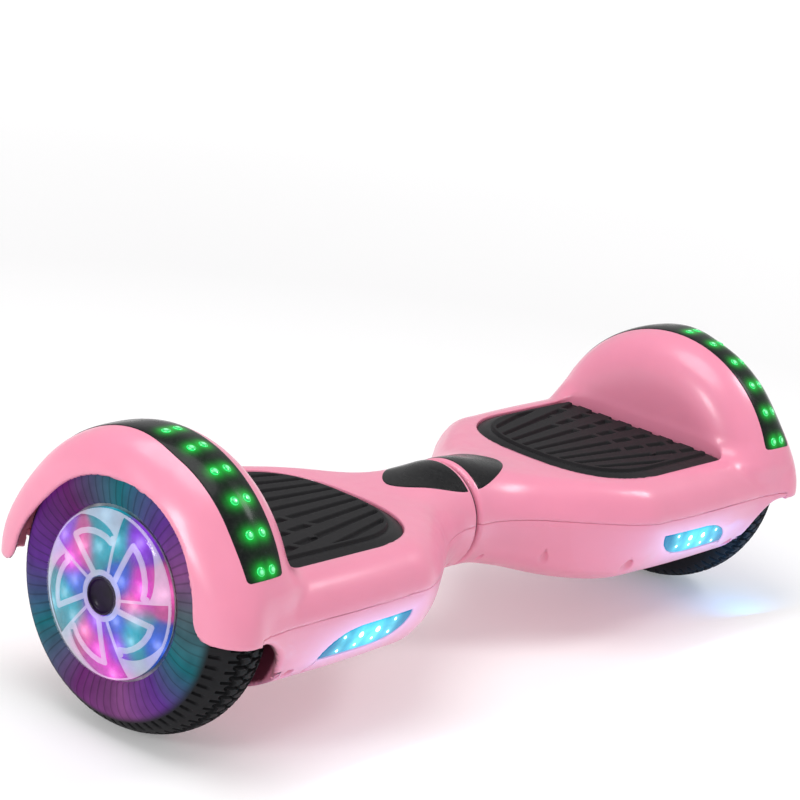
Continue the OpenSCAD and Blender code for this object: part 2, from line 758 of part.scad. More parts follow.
module centre_shaft() {
    color("darkgray") difference() {
        along_axle(-boss_x1 + 2) cylinder(r = shaft_r, h = 2 * boss_x1 + 3);
        along_axle(-boss_x1) cylinder(r = shaft_bore, h = 2 * boss_x1 + 20);
        ring(boss_x1 + 1.5, shaft_r + 2, shaft_r - 1.2, 1.3);
        radial(40, 90) translate([0, 0, 5]) cylinder(r = 3, h = 20);
    }
}

module twist_bushes() {
    color("goldenrod") {
        ring(4, bush_r, shaft_r + fit, 24);
        ring(50, bush_r, shaft_r + fit, boss_x1 - 50);
    }
}

// Dust disc in the gap, retaining ring on the shaft's end, and the stop pin
module joint_hardware() {
    color([0.15, 0.15, 0.16]) {
        ring(-1, neck_r - 3, shaft_r + fit, 2);
        ring(boss_x1 + 1.6, shaft_r + 4, shaft_r - 1.1, 1.1);
        radial(40, 90) translate([0, 0, 10]) cylinder(r = 3 - fit, h = 10.8);
    }
}

module power_switch() {
    color("silver") {
        difference() {
            toward_back(button_x, 74) cylinder(r = button_r + 1.4, h = 17.2);
            toward_back(button_x, switch_floor_y) cylinder(r = button_r + 0.2, h = 20);
        }
        difference() {
            toward_back(button_x, 80) cylinder(r = button_r + 4.4, h = 2.4);
            toward_back(button_x, 79) cylinder(r = button_r + 1.4, h = 5);
        }
    }
}

module power_button() {
    base_y = switch_floor_y + button_travel + 1;
    color("red") toward_back(button_x, base_y) cylinder(r = button_r, h = button_face_y - base_y);
}

// Socket with three contact pins in its bore
module charge_port() {
    color("silver") {
        difference() {
            union() {
                toward_back(socket_x, pocket_y + 0.02) cylinder(r = 9, h = 1);
                toward_back(socket_x, 76) cylinder(r = 6.9, h = pocket_y + 1 - 76);
            }
            toward_back(socket_x, 79) cylinder(r = charge_bore_r, h = 20);
        }
        toward_back(socket_x, 78) for (a = [0, 120, 240]) rotate([0, 0, a])
            translate([2.8, 0, 0]) cylinder(r = 0.8, h = 8);
    }
}

module charge_cap() {
    face_y = pocket_y + 1.2;
    color([0.1, 0.1, 0.1]) {
        toward_back(socket_x, face_y) cylinder(r = cap_r, h = 2.2);
        translate([socket_x - 4, face_y, cap_hinge_z]) cube([8, 2.2, 6]);
        translate([socket_x - 5, cap_hinge_y, cap_hinge_z]) rotate([0, 90, 0]) cylinder(r = 1.1, h = 10);
    }
}

module paired(part, side) {
    if (part == "upper_shell") upper_shell();
    if (part == "lower_shell") lower_shell(side);
    if (part == "frame") frame(side);
    if (part == "axle_clamp") axle_clamp();
    if (part == "clamp_screws") clamp_screws();
    if (part == "axle") axle();
    if (part == "stator_core") stator_core();
    if (part == "stator_windings") stator_windings();
    if (part == "rotor_drum") rotor_drum();
    if (part == "rotor_magnets") rotor_magnets();
    if (part == "motor_end_cover") motor_end_cover();
    if (part == "bearing_inner_rings") bearing_inner_rings();
    if (part == "bearing_outer_rings") bearing_outer_rings();
    if (part == "tyre") tyre();
    if (part == "wheel_light_board") wheel_light_board();
    if (part == "wheel_lens") wheel_lens();
    if (part == "hub_cap") hub_cap();
    if (part == "foot_pad") foot_pad();
    if (part == "sensor_board") sensor_board();
    if (part == "fender_strip") fender_strip();
    if (part == "fender_leds") fender_leds();
    if (part == "headlight_lens") headlight_lens();
    if (part == "headlight_leds") headlight_leds();
    if (part == "neck_inlay") neck_inlay();
    if (part == "shell_screws") shell_screws();
}

for (side = SIDES) for (part = PAIRED)
    on_side(side) paired(part, side);
battery_pack();
main_board();
wiring_harness();
centre_shaft();
twist_bushes();
joint_hardware();
power_button();
power_switch();
charge_port();
charge_cap();
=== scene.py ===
"""Looks of a self-balancing hoverboard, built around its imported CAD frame.

Lengths in the shape functions are millimetres, and x means distance from the middle of the board, so
one function serves both halves. Meshes are turned to metres, and mirrored for the left half, when they
are made.
"""
import functools
import json
import math

import bpy
import numpy as np
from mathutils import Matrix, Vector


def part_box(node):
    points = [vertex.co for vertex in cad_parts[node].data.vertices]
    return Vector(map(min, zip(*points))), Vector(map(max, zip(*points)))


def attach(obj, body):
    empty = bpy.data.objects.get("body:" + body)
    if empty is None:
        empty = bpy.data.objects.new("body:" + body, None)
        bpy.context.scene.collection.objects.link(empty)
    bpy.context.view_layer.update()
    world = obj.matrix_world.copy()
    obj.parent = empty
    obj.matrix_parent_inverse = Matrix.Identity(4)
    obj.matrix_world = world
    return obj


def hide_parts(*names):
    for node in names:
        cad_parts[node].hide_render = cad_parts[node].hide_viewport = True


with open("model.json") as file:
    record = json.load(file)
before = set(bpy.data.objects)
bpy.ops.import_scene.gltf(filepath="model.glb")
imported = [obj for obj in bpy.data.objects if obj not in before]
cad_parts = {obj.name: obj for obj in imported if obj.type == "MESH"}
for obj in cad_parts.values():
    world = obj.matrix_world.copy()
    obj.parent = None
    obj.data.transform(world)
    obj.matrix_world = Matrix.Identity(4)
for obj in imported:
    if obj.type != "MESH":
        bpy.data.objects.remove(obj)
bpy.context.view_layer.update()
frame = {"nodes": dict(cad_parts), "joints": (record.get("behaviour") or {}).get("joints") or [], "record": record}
SIDES = {"left": -1, "right": 1}
MM = 0.001


def box_mm(node):
    """Lowest and highest corner of a CAD node, in millimetres."""
    low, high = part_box(node)
    return np.array(low) / MM, np.array(high) / MM


# ---- dimensions, from the frame
AXLE_Z = next(j for j in frame["joints"] if j["name"] == "deck_twist")["pos_m"][2] / MM
PAD_LOW, PAD_HIGH = box_mm("right_foot_pad")
STRIP_LOW, STRIP_HIGH = box_mm("right_fender_strip")
INLAY_LOW, INLAY_HIGH = box_mm("right_neck_inlay")
LAMP_LOW, LAMP_HIGH = box_mm("right_headlight_lens")
TYRE_LOW, TYRE_HIGH = box_mm("right_tyre")
LENS_LOW, LENS_HIGH = box_mm("right_wheel_lens")
HUB_LOW, HUB_HIGH = box_mm("right_hub_cap")

# deck
HALF_W = box_mm("right_lower_shell")[1][1]
NECK_X = 1.3
SEAM_Z = 88.0
SEAM_GAP = 0.28
WALL = 3.8
DECK_END_X = 258.0
LIP_END_X = 264.0
PAD_FLOOR_Z = 107.0
FRONT_Y = -60
# planes of the deck's side: a point (outwards, up) on each and the way it runs
CHAMFER = ((0, SEAM_Z), (-9.5, 22))
SIDE_WALL = ((-4, 60), (3.4, 27))
UNDERCUT = ((-30, 39), (26, 20.5))
# wheel well of the lower shell and the quarter curve at its end
WELL_X = 229.0
WELL_R = 87.0
ARCH_RUN, ARCH_RISE, ARCH_FOOT_Z = 28.0, 30.0, 54.0
# fender: inner end, crown and outer end of its oval profile, then the oval's powers inside and outside
FENDER_R = STRIP_HIGH[2] - AXLE_Z
FENDER_X = (220.5, 256.5, 291.5)
FENDER_BASE_R = 55.0
FENDER_OVAL = (2.4, 1.75)
FENDER_WALL = 3.6
FENDER_EDGE_Z = AXLE_Z - 1.5
# outward splay of the fender below FLARE_RISE over the axle, and how much squarer it is there and behind
FLARE = 0.065
FLARE_RISE = 58.0
FLARE_SQUARE = 1.0
BACK_SQUARE = 1.5
# opening of the fender round the wheel disc, wider and lower at the back
EYE_R = 67.0
EYE_X = 272.0
BACK_WIDER = 8.0
BACK_LOWER = 7.0

# knots of the body's outline: distance from the middle, then the value there
HALF_WIDTH = [(0, 34.6), (14, 35.3), (38, 43.6), (76, 69.5), (98, 84), (114, 91)]
HALF_WIDTH += [(132, HALF_W), (300, HALF_W)]
DECK_TOP = [(0, 119.6), (12, 119.3), (34, 115.8), (57, 112.4), (82, 111.2), (120, 111), (300, 111)]
BELLY = [(0, 50.3), (20, 49.6), (50, 43.6), (85, 35.6), (115, 32.6), (140, 32.4), (300, 33)]

# pegs under a foot pad and the screw pockets in the lower shell: (x, y), repeated at -y
PEG_AT = (150, 35)
PEG_R = 4.0
SCREWS = [(222.5, 80), (108, 79), (57, 48), (17, 26.5)]
BOSS_R = 7.6
POCKET_R = 4.6
POCKET_TOP_Z = 72
POCKET_TAPER = 20
POCKET_DEPTH = 6

# power button's hole and charging socket's pocket, on the back
BUTTON_R = 8.7
SOCKET_R = 7.3
CAP_R = 12.0
CAP_FLOOR_Y = 88.0

STRIP_SPREAD = math.radians(69)
LEAF_RUN = 31.0
PANEL_X = LAMP_HIGH[0] + 1
LED_ANGLES = [24.2 + 12.8 * i for i in range(6)]
LED_X = 257.0
LED_OFFSET = 4.5
# lamps behind a headlight lens: distance from the middle, height, radius
HEADLIGHT_POINTS = [(190.3 - 14.4 * i, 63.6 + 1.1 * i, 1.9) for i in range(4)]
HEADLIGHT_POINTS += [(188.4, 72.6, 1.9), (173.8, 71.2, 3.4), (159.2, 71.6, 3.4), (144.6, 75.0, 1.9)]

# sampling steps of the curved pieces
SHELL_VOXEL = 1.6
PAD_VOXEL = 0.7
LENS_VOXEL = 0.6
TRIM_VOXEL = 0.42

PINK_BASE = (0.79, 0.245, 0.37)

# stage, in metres and degrees
FLOOR_REACH = 40.0
CAMERA_AT = (-1.2968, -0.9690, 0.6279)
CAMERA_YAW, CAMERA_PITCH, CAMERA_ROLL = 52.03, 16.29, 8.78
CAMERA_LENS = 121.07


# ---- distance fields
def smooth_max(a, b, k):
    """Maximum whose corner is rounded off over k."""
    h = np.maximum(k - np.abs(a - b), 0) / k
    return np.maximum(a, b) + h * h * k / 4


def smooth_min(a, b, k):
    return -smooth_max(-a, -b, k)


def ramp(low, high, v):
    """0 at low, 1 at high, smooth between."""
    t = np.clip((v - low) / (high - low), 0, 1)
    return t * t * (3 - 2 * t)


def curve(knots):
    """A smooth function through the knots."""
    x, y = np.array(knots, float).T
    slope = np.gradient(y, x)
    dense = np.linspace(x[0], x[-1], 6000)
    i = np.clip(np.searchsorted(x, dense, side="right") - 1, 0, len(x) - 2)
    h = x[i + 1] - x[i]
    t = (dense - x[i]) / h
    value = (
        y[i] * (1 + 2 * t) * (1 - t) ** 2
        + slope[i] * h * t * (1 - t) ** 2
        + y[i + 1] * t * t * (3 - 2 * t)
        - slope[i + 1] * h * t * t * (1 - t)
    )
    return lambda v: np.interp(v, dense, value)


half_width = curve(HALF_WIDTH)
deck_top = curve(DECK_TOP)
belly = curve(BELLY)


def tilted(u, v, at, direction):
    """Distance from a plane through at that runs along direction, positive on its right."""
    length = math.hypot(*direction)
    return ((u - at[0]) * direction[1] - (v - at[1]) * direction[0]) / length


def deck(x, y, z):
    """One half without its fender: a round neck that turns into a deck with chamfered sides."""
    w = half_width(x)
    top = deck_top(x)
    bottom = belly(x)
    side = np.abs(y) - w
    upper = smooth_max(tilted(side, z, *CHAMFER), z - top, 15)
    sides = smooth_max(tilted(side, z, *SIDE_WALL), tilted(side, z, *UNDERCUT), 14)
    lower = smooth_max(sides, bottom - z, 18)
    slab = smooth_max(upper, lower, 3)
    half_height = np.where(z > AXLE_Z, top - AXLE_Z, AXLE_Z - bottom)
    reach = np.sqrt((y / w) ** 2 + ((z - AXLE_Z) / half_height) ** 2)
    tube = (reach - 1) * np.minimum(w, half_height)
    t = ramp(12, 88, x)
    return tube * (1 - t) + slab * t


def half_body(x, y, z):
    """The deck, cut off at the twist joint."""
    return smooth_max(deck(x, y, z), NECK_X - x, 4)


def from_axle(y, z):
    return np.sqrt(y * y + (z - AXLE_Z) ** 2)


def fender(x, y, z, inset=0.0):
    """Oval profile turned about the axle; it splays at its lower edge and is fuller at the back."""
    low = ramp(FLARE_RISE, 0, z - AXLE_Z)
    back = ramp(-25, 30, y)
    outside = x > FENDER_X[1]
    half = np.where(outside, FENDER_X[2] - FENDER_X[1], FENDER_X[1] - FENDER_X[0]) - inset
    fuller = np.maximum(FLARE_SQUARE * low, BACK_SQUARE * back)
    power = np.where(outside, FENDER_OVAL[1] + fuller, FENDER_OVAL[0])
    rise = FENDER_R - FENDER_BASE_R - inset
    u = np.abs(x - FENDER_X[1]) / half
    splay = 1 - FLARE * low * ramp(248, 276, x)
    v = np.maximum(from_axle(y * splay, z) - FENDER_BASE_R, 0) / rise
    return ((u ** power + v ** power) ** (1 / power) - 1) * rise


def pad_outline(x, y):
    """Half an oval towards the neck, a rounded rectangle at the wheel."""
    bend, power, corner = 150.0, 2.6, 7.0
    half = PAD_HIGH[1]
    u = np.maximum(bend - x, 0) / (bend - PAD_LOW[0])
    oval = ((u ** power + (np.abs(y) / half) ** power) ** (1 / power) - 1) * half
    dx = x - PAD_HIGH[0] + corner
    dy = np.abs(y) - half + corner
    inner = np.minimum(np.maximum(dx, dy), 0)
    square = np.hypot(np.maximum(dx, 0), np.maximum(dy, 0)) + inner - corner
    return np.where(x < bend, oval, square)


def lamp_outline(x, z):
    """Slanted leaf with two sharp and two round corners."""
    low, high = LAMP_LOW[2] + 0.3, LAMP_HIGH[2] - 0.6
    left, right = LAMP_LOW[0], LAMP_HIGH[0]
    h = high - low
    slab = np.maximum(low - z, z - high)

    def corner(reach, rise):
        return (np.sqrt((np.maximum(reach, 0) / LEAF_RUN) ** 2 + (rise / h) ** 2) - 1) * h

    leaf = np.where(x > right - LEAF_RUN, corner(x - right + LEAF_RUN, z - low), slab)
    below = corner(left + LEAF_RUN - x, high - z)
    leaf = np.where(x < left + LEAF_RUN, np.maximum(leaf, below), leaf)
    return np.maximum(leaf, slab)


def columns(x, y, z, at, radius, low, high):
    """Two upright cylinders, at y and -y."""
    d = np.sqrt((x - at[0]) ** 2 + (np.abs(y) - at[1]) ** 2) - radius
    return np.maximum(d, np.maximum(low - z, z - high))


def hollow(x, y, z, body):
    """Space inside the deck, leaving a floor under the foot pad."""
    space = np.maximum(body + WALL, x - WELL_X + 3.5)
    tray = np.maximum(pad_outline(x, y) - 3, PAD_FLOOR_Z - WALL - z)
    return np.maximum(space, -tray)


def skin(body, cover, x, z):
    """Outside of one half: the deck, rounded off at the wheel, flowing into the fender."""
    end = smooth_max(body, x - DECK_END_X, 8)
    return smooth_min(end, cover, 5 + 9 * ramp(95, 110, z))


def upper_shell(x, y, z):
    """Deck top and fender, open round the wheel and under the foot pad."""
    body = half_body(x, y, z)
    solid = np.maximum(skin(body, fender(x, y, z), x, z), -hollow(x, y, z, body))
    solid = np.maximum(solid, -np.maximum(fender(x, y, z, FENDER_WALL), WELL_X - x))
    back = ramp(0, 30, y)
    wider = BACK_WIDER * ramp(45, 0, z - AXLE_Z) * back
    eye = np.maximum(from_axle(y, z) - EYE_R - wider, EYE_X - x)
    lower_edge = FENDER_EDGE_Z - BACK_LOWER * back
    opening = smooth_min(eye, z - lower_edge, 14)
    solid = np.where(x > 265, smooth_max(solid, -opening, 3), solid)
    edge = np.where(x < LIP_END_X + SEAM_GAP, SEAM_Z + SEAM_GAP / 2, lower_edge)
    solid = smooth_max(solid, edge - z, 0.6)
    solid = smooth_max(solid, -np.maximum(pad_outline(x, y) - 0.5, PAD_FLOOR_Z - z), 1.2)
    return np.maximum(solid, -columns(x, y, z, PEG_AT, PEG_R + 0.8, 95, 120))


def arch(x, z):
    """Distance from the quarter curve that ends the lower shell, positive on the deck's side."""
    u = (LIP_END_X - x) / ARCH_RUN
    v = np.maximum(z - ARCH_FOOT_Z, 0) / ARCH_RISE
    return (np.sqrt(u * u + v * v) - 1) * ARCH_RUN * np.where(x > LIP_END_X, -1, 1)


def lower_shell(x, y, z, controls=False):
    """Underside with its wheel well, headlight opening, panel line and screw pockets."""
    body = half_body(x, y, z)
    cheek = smooth_max(fender(x, y, z), 62 - z, 24) + 0.15
    solid = smooth_max(smooth_min(body, cheek, 5), -arch(x, z), 3)
    solid = np.maximum(solid, x - LIP_END_X)
    solid = np.maximum(solid, -hollow(x, y, z, body))
    solid = np.maximum(solid, -np.maximum(from_axle(y, z) - WELL_R, WELL_X - x))
    solid = smooth_max(solid, z - SEAM_Z + SEAM_GAP / 2, 0.6)
    lamp = np.maximum(lamp_outline(x, z) - 0.25, y - FRONT_Y)
    solid = smooth_max(solid, -lamp, 0.5)
    panel = np.maximum(np.abs(x - PANEL_X) - 0.45, np.maximum(z - LAMP_LOW[2], y - FRONT_Y))
    solid = np.maximum(solid, -np.maximum(panel, -body - 0.8))
    for at in SCREWS:
        boss = columns(x, y, z, at, BOSS_R, 30, SEAM_Z - 0.3)
        solid = np.minimum(solid, np.maximum(boss, body + 1))
        taper = POCKET_R * ramp(POCKET_TOP_Z, POCKET_TOP_Z - POCKET_TAPER, z)
        bore = np.hypot(x - at[0], np.abs(y) - at[1]) - taper
        pocket = np.maximum(np.maximum(bore, z - POCKET_TOP_Z), -body - POCKET_DEPTH)
        solid = smooth_max(solid, -pocket, 0.8)
    return control_openings(solid, x, y, z, body) if controls else solid


def control_openings(solid, x, y, z, body):
    """Power button's hole and the charging socket's pocket, with the shell thicker round them."""
    (bx, _, bz), (sx, _, sz) = (sum(box_mm(node)) / 2 for node in ("power_button", "charge_port"))
    inside = -FRONT_Y - y
    button = np.hypot(x - bx, z - bz)
    port = np.hypot(x - sx, z - sz)
    cap = np.hypot(x - sx, z - sz + np.clip(sz - z, 0, 2))
    rim = np.minimum(button - 11, cap - 15)
    solid = np.minimum(solid, np.maximum(np.maximum(rim, 84.5 - y), body + 1))
    solid = smooth_max(solid, -np.maximum(button - BUTTON_R, inside), 0.8)
    solid = smooth_max(solid, -np.maximum(cap - CAP_R, CAP_FLOOR_Y - y), 0.8)
    return np.maximum(solid, -np.maximum(port - SOCKET_R, inside))


# ---- foot pad
PAD_TOP = PAD_HIGH[2] + 0.2
TREAD_X = (96, 212)
GROOVES = 4
ARC_CENTRE_X = 115.0
ARC_RADII = (50.0, 70.5, 91.0)
ARC_SPREAD = 0.62


def tread_depth(x, y):
    """How deep the tread's grooves are at (x, y), from 0 to 1."""
    t = np.clip((x - TREAD_X[0]) / (TREAD_X[1] - TREAD_X[0]), 0, 1.2)
    pitch = 10 + 7.5 * t
    half = 1.5 + 1.3 * t
    lane = np.abs(y / pitch - np.clip(np.round(y / pitch), -GROOVES, GROOVES)) * pitch
    groove = ramp(0.9, -0.9, lane - half)
    reach = np.sqrt((x - ARC_CENTRE_X) ** 2 + y * y)
    for radius in ARC_RADII:
        bridge = np.abs(reach - radius) - 2.6
        cross = ramp(-0.8, 0.8, bridge)
        groove = groove * np.where((x > ARC_CENTRE_X) & (np.abs(y) < radius * ARC_SPREAD), cross, 1)
    return groove


def pad_surface(x, y):
    """Height of the pad's top: a bevelled rim round a raised, grooved tread."""
    edge = pad_outline(x, y)
    rim = PAD_TOP - 1.8 - 2.4 * ramp(-8.5, 0, edge) ** 1.3
    tread = ramp(-8.6, -9.8, edge)
    inside = ramp(-11, -12.5, pad_outline(np.minimum(x, 200), y))
    channel = 0.4 * ramp(1.0, 0, np.abs(edge + 8.8))
    return rim - channel + tread * (1.9 - 2.3 * tread_depth(x, y) * inside)


def foot_pad(x, y, z):
    """The pad and its two pegs, clear of the deck by more than the pad's travel."""
    below = np.maximum(pad_outline(x, y), PAD_FLOOR_Z + 1.9 - z)
    solid = smooth_max((z - pad_surface(x, y)) * 0.85, below, 0.8)
    return np.minimum(solid, columns(x, y, z, PEG_AT, PEG_R, 99, 110))


def headlight_lens(x, y, z):
    """Leaf-shaped window, flush with the lower shell."""
    body = deck(x, y, z)
    return smooth_max(np.maximum(lamp_outline(x, z), np.maximum(-body - 2.1, y)), body + 0.05, 0.8)


# ---- meshes
def build_mesh(name, points, faces, normals=None):
    """Smooth mesh: points in millimetres; faces is an array of quads or a list of polygons."""
    mesh = bpy.data.meshes.new(name)
    faces = faces.tolist() if isinstance(faces, np.ndarray) else faces
    mesh.from_pydata((points * MM).tolist(), [], faces)
    mesh.validate()
    mesh.polygons.foreach_set("use_smooth", np.ones(len(mesh.polygons), bool))
    if normals is not None:
        mesh.normals_split_custom_set(normals.reshape(-1, 3).tolist())
    return mesh


def unit_gradient(field, points, step=0.06):
    """Direction in which the field grows fastest at each point."""
    pairs = [(field(*(points + s).T), field(*(points - s).T)) for s in step * np.eye(3)]
    slope = np.stack([ahead - behind for ahead, behind in pairs], axis=1) / (2 * step)
    return slope / np.maximum(np.linalg.norm(slope, axis=1, keepdims=True), 1e-9)


def crossings(field, value, low, voxel, axis):
    """Grid edges along one axis that the surface cuts: their indices, direction and cutting points."""
    index = np.argwhere(np.diff(value < 0, axis=axis))
    unit = np.eye(3, dtype=int)[axis]
    start = value[tuple(index.T)]
    end = value[tuple((index + unit).T)]
    leaving = start < 0
    t0 = np.zeros(len(index))
    t1 = np.ones(len(index))
    for _ in range(3):
        t = t0 + (t1 - t0) * np.clip(start / (start - end), 0.02, 0.98)
        points = low + voxel * (index + t[:, None] * unit)
        here = field(*points.T)
        first = (here < 0) == leaving
        t0 = np.where(first, t, t0)
        start = np.where(first, here, start)
        t1 = np.where(first, t1, t)
        end = np.where(first, end, here)
    return index, leaving, points


def settle(points, normals, owner, count):
    """Per cell, the point nearest to the tangent planes of its crossings, which keeps creases sharp."""
    def sums(vectors):
        return np.stack([np.bincount(owner, v, count) for v in vectors.T], axis=1)

    mid = sums(points) / np.bincount(owner, minlength=count)[:, None]
    reach = (normals * (points - mid[owner])).sum(1)
    pull = sums(normals * reach[:, None])
    planes = np.stack([sums(normals * normals[:, i:i + 1]) for i in range(3)], axis=1)
    size, axes = np.linalg.eigh(planes)
    inverse = np.where(size > 0.08 * size[:, 2:], 1 / np.maximum(size, 1e-9), 0)
    move = np.einsum("nij,nj->ni", axes, inverse * np.einsum("nji,nj->ni", axes, pull))
    return mid + move


def surface(field, low, high, voxel):
    """Dual contouring of a field inside a box: points, quads and a normal for each quad's corner."""
    low = np.array(low, float)
    axes = [np.arange(a, b + voxel, voxel) for a, b in zip(low, high)]
    grid = np.meshgrid(*axes, indexing="ij", sparse=True)
    shape = [len(a) for a in axes]
    value = np.array(np.broadcast_to(field(*grid), shape))
    cell_ids, spots, corners = [], [], []
    for axis in range(3):
        index, leaving, points = crossings(field, value, low, voxel, axis)
        u, w = np.eye(3, dtype=int)[[(axis + 1) % 3, (axis + 2) % 3]]
        around = [index - u - w, index - w, index, index - u]
        ids = np.stack([np.ravel_multi_index(c.T, shape) for c in around], axis=1)
        cell_ids.append(ids.ravel())
        spots.append(np.repeat(points, 4, axis=0))
        corners.append(np.where(leaving[:, None], ids, ids[:, ::-1]))
    cells, owner = np.unique(np.concatenate(cell_ids), return_inverse=True)
    spots = np.concatenate(spots)
    normals = np.repeat(unit_gradient(field, spots[::4]), 4, axis=0)
    points = settle(spots, normals, owner, len(cells))
    corner = low + voxel * np.stack(np.unravel_index(cells, shape), axis=1)
    points = np.clip(points, corner + 0.02 * voxel, corner + 0.98 * voxel)
    quads = np.searchsorted(cells, np.concatenate(corners))
    centre = points[quads].mean(axis=1, keepdims=True)
    inset = points[quads] * 0.75 + centre * 0.25
    return points, quads, unit_gradient(field, inset.reshape(-1, 3)).reshape(len(quads), 4, 3)


def mirrored(shape, sign):
    """The shape itself, or its mirror image with the faces turned over."""
    if sign > 0:
        return shape
    points, faces, *normals = shape
    flip = np.array([-1, 1, 1])
    turned = [f[::-1] for f in faces] if isinstance(faces, list) else np.ascontiguousarray(faces[:, ::-1])
    return (points * flip, turned, *(n[:, ::-1] * flip for n in normals))


def into_scene(name, data):
    """Adds an object that shows the data to the scene."""
    obj = bpy.data.objects.new(name, data)
    bpy.context.scene.collection.objects.link(obj)
    return obj


def paint(mesh, name, values):
    """Stores one number, or one colour, per point for the materials to read."""
    values = np.asarray(values, float)
    if values.ndim == 1:
        layer = mesh.attributes.new(name, "FLOAT", "POINT")
        layer.data.foreach_set("value", values)
        return
    layer = mesh.attributes.new(name, "FLOAT_COLOR", "POINT")
    layer.data.foreach_set("color", np.column_stack([values, np.ones(len(values))]).ravel())


# each piece: the CAD node that it stands for, or none, the body that it rides on and its material slot,
# with the names of nodes and bodies less their side
PIECES = {
    "upper_casing": ("upper_shell", "half", "shell"),
    "lower_casing": ("lower_shell", "half", "shell"),
    "foot_mat": ("foot_pad", "pad", "pad_rubber"),
    "fender_band": ("fender_strip", "half", "gloss_black"),
    "neck_trim": ("neck_inlay", "half", "gloss_black"),
    "headlight_window": ("headlight_lens", "half", "blue_lens"),
    "headlight_lamps": ("headlight_leds", "half", "led_board"),
    "fender_lamps": ("fender_leds", "half", "green_led"),
    "tyre_tread": ("tyre", "wheel", "tyre"),
    "light_diffuser": (None, "wheel", "wheel_lens"),
    "wheel_trim": (None, "wheel", "wheel_lens"),
    "clear_cover": ("wheel_lens", "wheel", "wheel_lens"),
    "hub_cup": ("hub_cap", "wheel", "gloss_black"),
}


def place(piece, shape, finish, sharp=None, sides=SIDES, **values):
    """Makes a piece on each side. Edges over sharp degrees stay sharp; values are painted on it."""
    node, part, slot = PIECES[piece]
    for side in sides:
        mesh = build_mesh("%s_%s" % (side, piece), *mirrored(shape, SIDES[side]))
        mesh.materials.append(finish.material)
        for name, painted in values.items():
            paint(mesh, name, painted)
        if sharp:
            mesh.set_sharp_from_angle(angle=math.radians(sharp))
        obj = into_scene(mesh.name, mesh)
        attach(obj, "%s_%s" % (side, part))
        if node:
            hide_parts("%s_%s" % (side, node))


def outward(points, quads):
    """Turns a closed mesh's faces so that they look outwards."""
    a, b, c, d = (points[quads[:, i]] for i in range(4))
    volume = (a * (np.cross(b, c) + np.cross(c, d))).sum()
    return quads if volume > 0 else np.ascontiguousarray(quads[:, ::-1])


def lattice(rows, columns, closed_rows=True, closed_columns=True):
    """Quads of a grid of points, wrapped round in one or both directions."""
    index = np.arange(rows * columns).reshape(rows, columns)
    ahead = np.roll(index, -1, axis=0)
    quads = np.stack([index, ahead, np.roll(ahead, -1, axis=1), np.roll(index, -1, axis=1)], axis=-1)
    return quads[:rows if closed_rows else -1, :columns if closed_columns else -1].reshape(-1, 4)


def revolve(profile, steps):
    """Turns a closed outline of (x, radius) points about the axle. Angle 0 is the front, 90 the top."""
    x, r = np.array(profile, float).T
    angle = np.linspace(0, 2 * math.pi, steps, endpoint=False)[:, None]
    y = -r * np.cos(angle)
    z = AXLE_Z + r * np.sin(angle)
    points = np.stack([np.broadcast_to(x, y.shape), y, z], axis=-1).reshape(-1, 3)
    return points, outward(points, lattice(steps, len(profile)))


def wheel_polar(points):
    """Angle in degrees and radius of points, about the axle."""
    y, z = points[:, 1], points[:, 2] - AXLE_Z
    return np.degrees(np.arctan2(z, -y)), np.hypot(y, z)


# ---- glossy trim laid over the shells
def root(field, low, high):
    """Where growing fields pass zero."""
    low = low + 0.0
    high = high + 0.0
    for _ in range(36):
        mid = (low + high) / 2
        inside = field(mid) < 0
        low = np.where(inside, mid, low)
        high = np.where(inside, high, mid)
    return mid


# section of a draped plate: share of the way from its middle line to its rim, height over the shell
PLATE_TOP, PLATE_FLOOR = 0.3, -1.4
PLATE_SECTION = [(share, PLATE_TOP) for share in (0, 0.2, 0.4, 0.6, 0.8, 0.9)]
PLATE_SECTION += [(0.955, 0.29), (0.98, 0.24), (0.993, 0.14), (1.0, -0.05)]
PLATE_SECTION += [(share, PLATE_FLOOR) for share in (1.0, 0.5, 0)]


def drape(rim, spine, lay):
    """Closed thin plate with a soft edge: flat outline points, their partners on its middle line, and the
    function that lays flat points on the curved surface at a height above it."""
    rows = [lay(spine + share * (rim - spine), height) for share, height in PLATE_SECTION]
    points = np.stack(rows, axis=1).reshape(-1, 3)
    quads = outward(points, lattice(len(rim), len(PLATE_SECTION), True, False))
    _, keep, same = np.unique(points.round(4), axis=0, return_index=True, return_inverse=True)
    faces = [list(dict.fromkeys(face)) for face in same.reshape(-1)[quads].tolist()]
    return points[keep], [face for face in faces if len(face) > 2]


def rounded_rectangle(half_x, half_y, corner):
    """Points round a rectangle, close together along its long sides."""
    rim = []
    for turn, (sx, sy) in enumerate([(1, 1), (-1, 1), (-1, -1), (1, -1)]):
        for t in np.linspace(0, math.pi / 2, 8)[:-1] + turn * math.pi / 2:
            x = sx * (half_x - corner) + corner * math.cos(t)
            rim.append((x, sy * (half_y - corner) + corner * math.sin(t)))
        if turn % 2:
            rim += [(sx * half_x, y) for y in sy * np.linspace(half_y - corner, corner - half_y, 160)[:-1]]
        else:
            rim += [(x, sy * half_y) for x in sx * np.linspace(half_x - corner, corner - half_x, 16)[:-1]]
    return np.array(rim)


def fender_reach(x, y, z, low, high):
    """How far from the axle the fender's skin is at x, in the directions (y, z)."""
    return root(lambda r: fender(x, r * y, AXLE_Z + r * z), low, high)


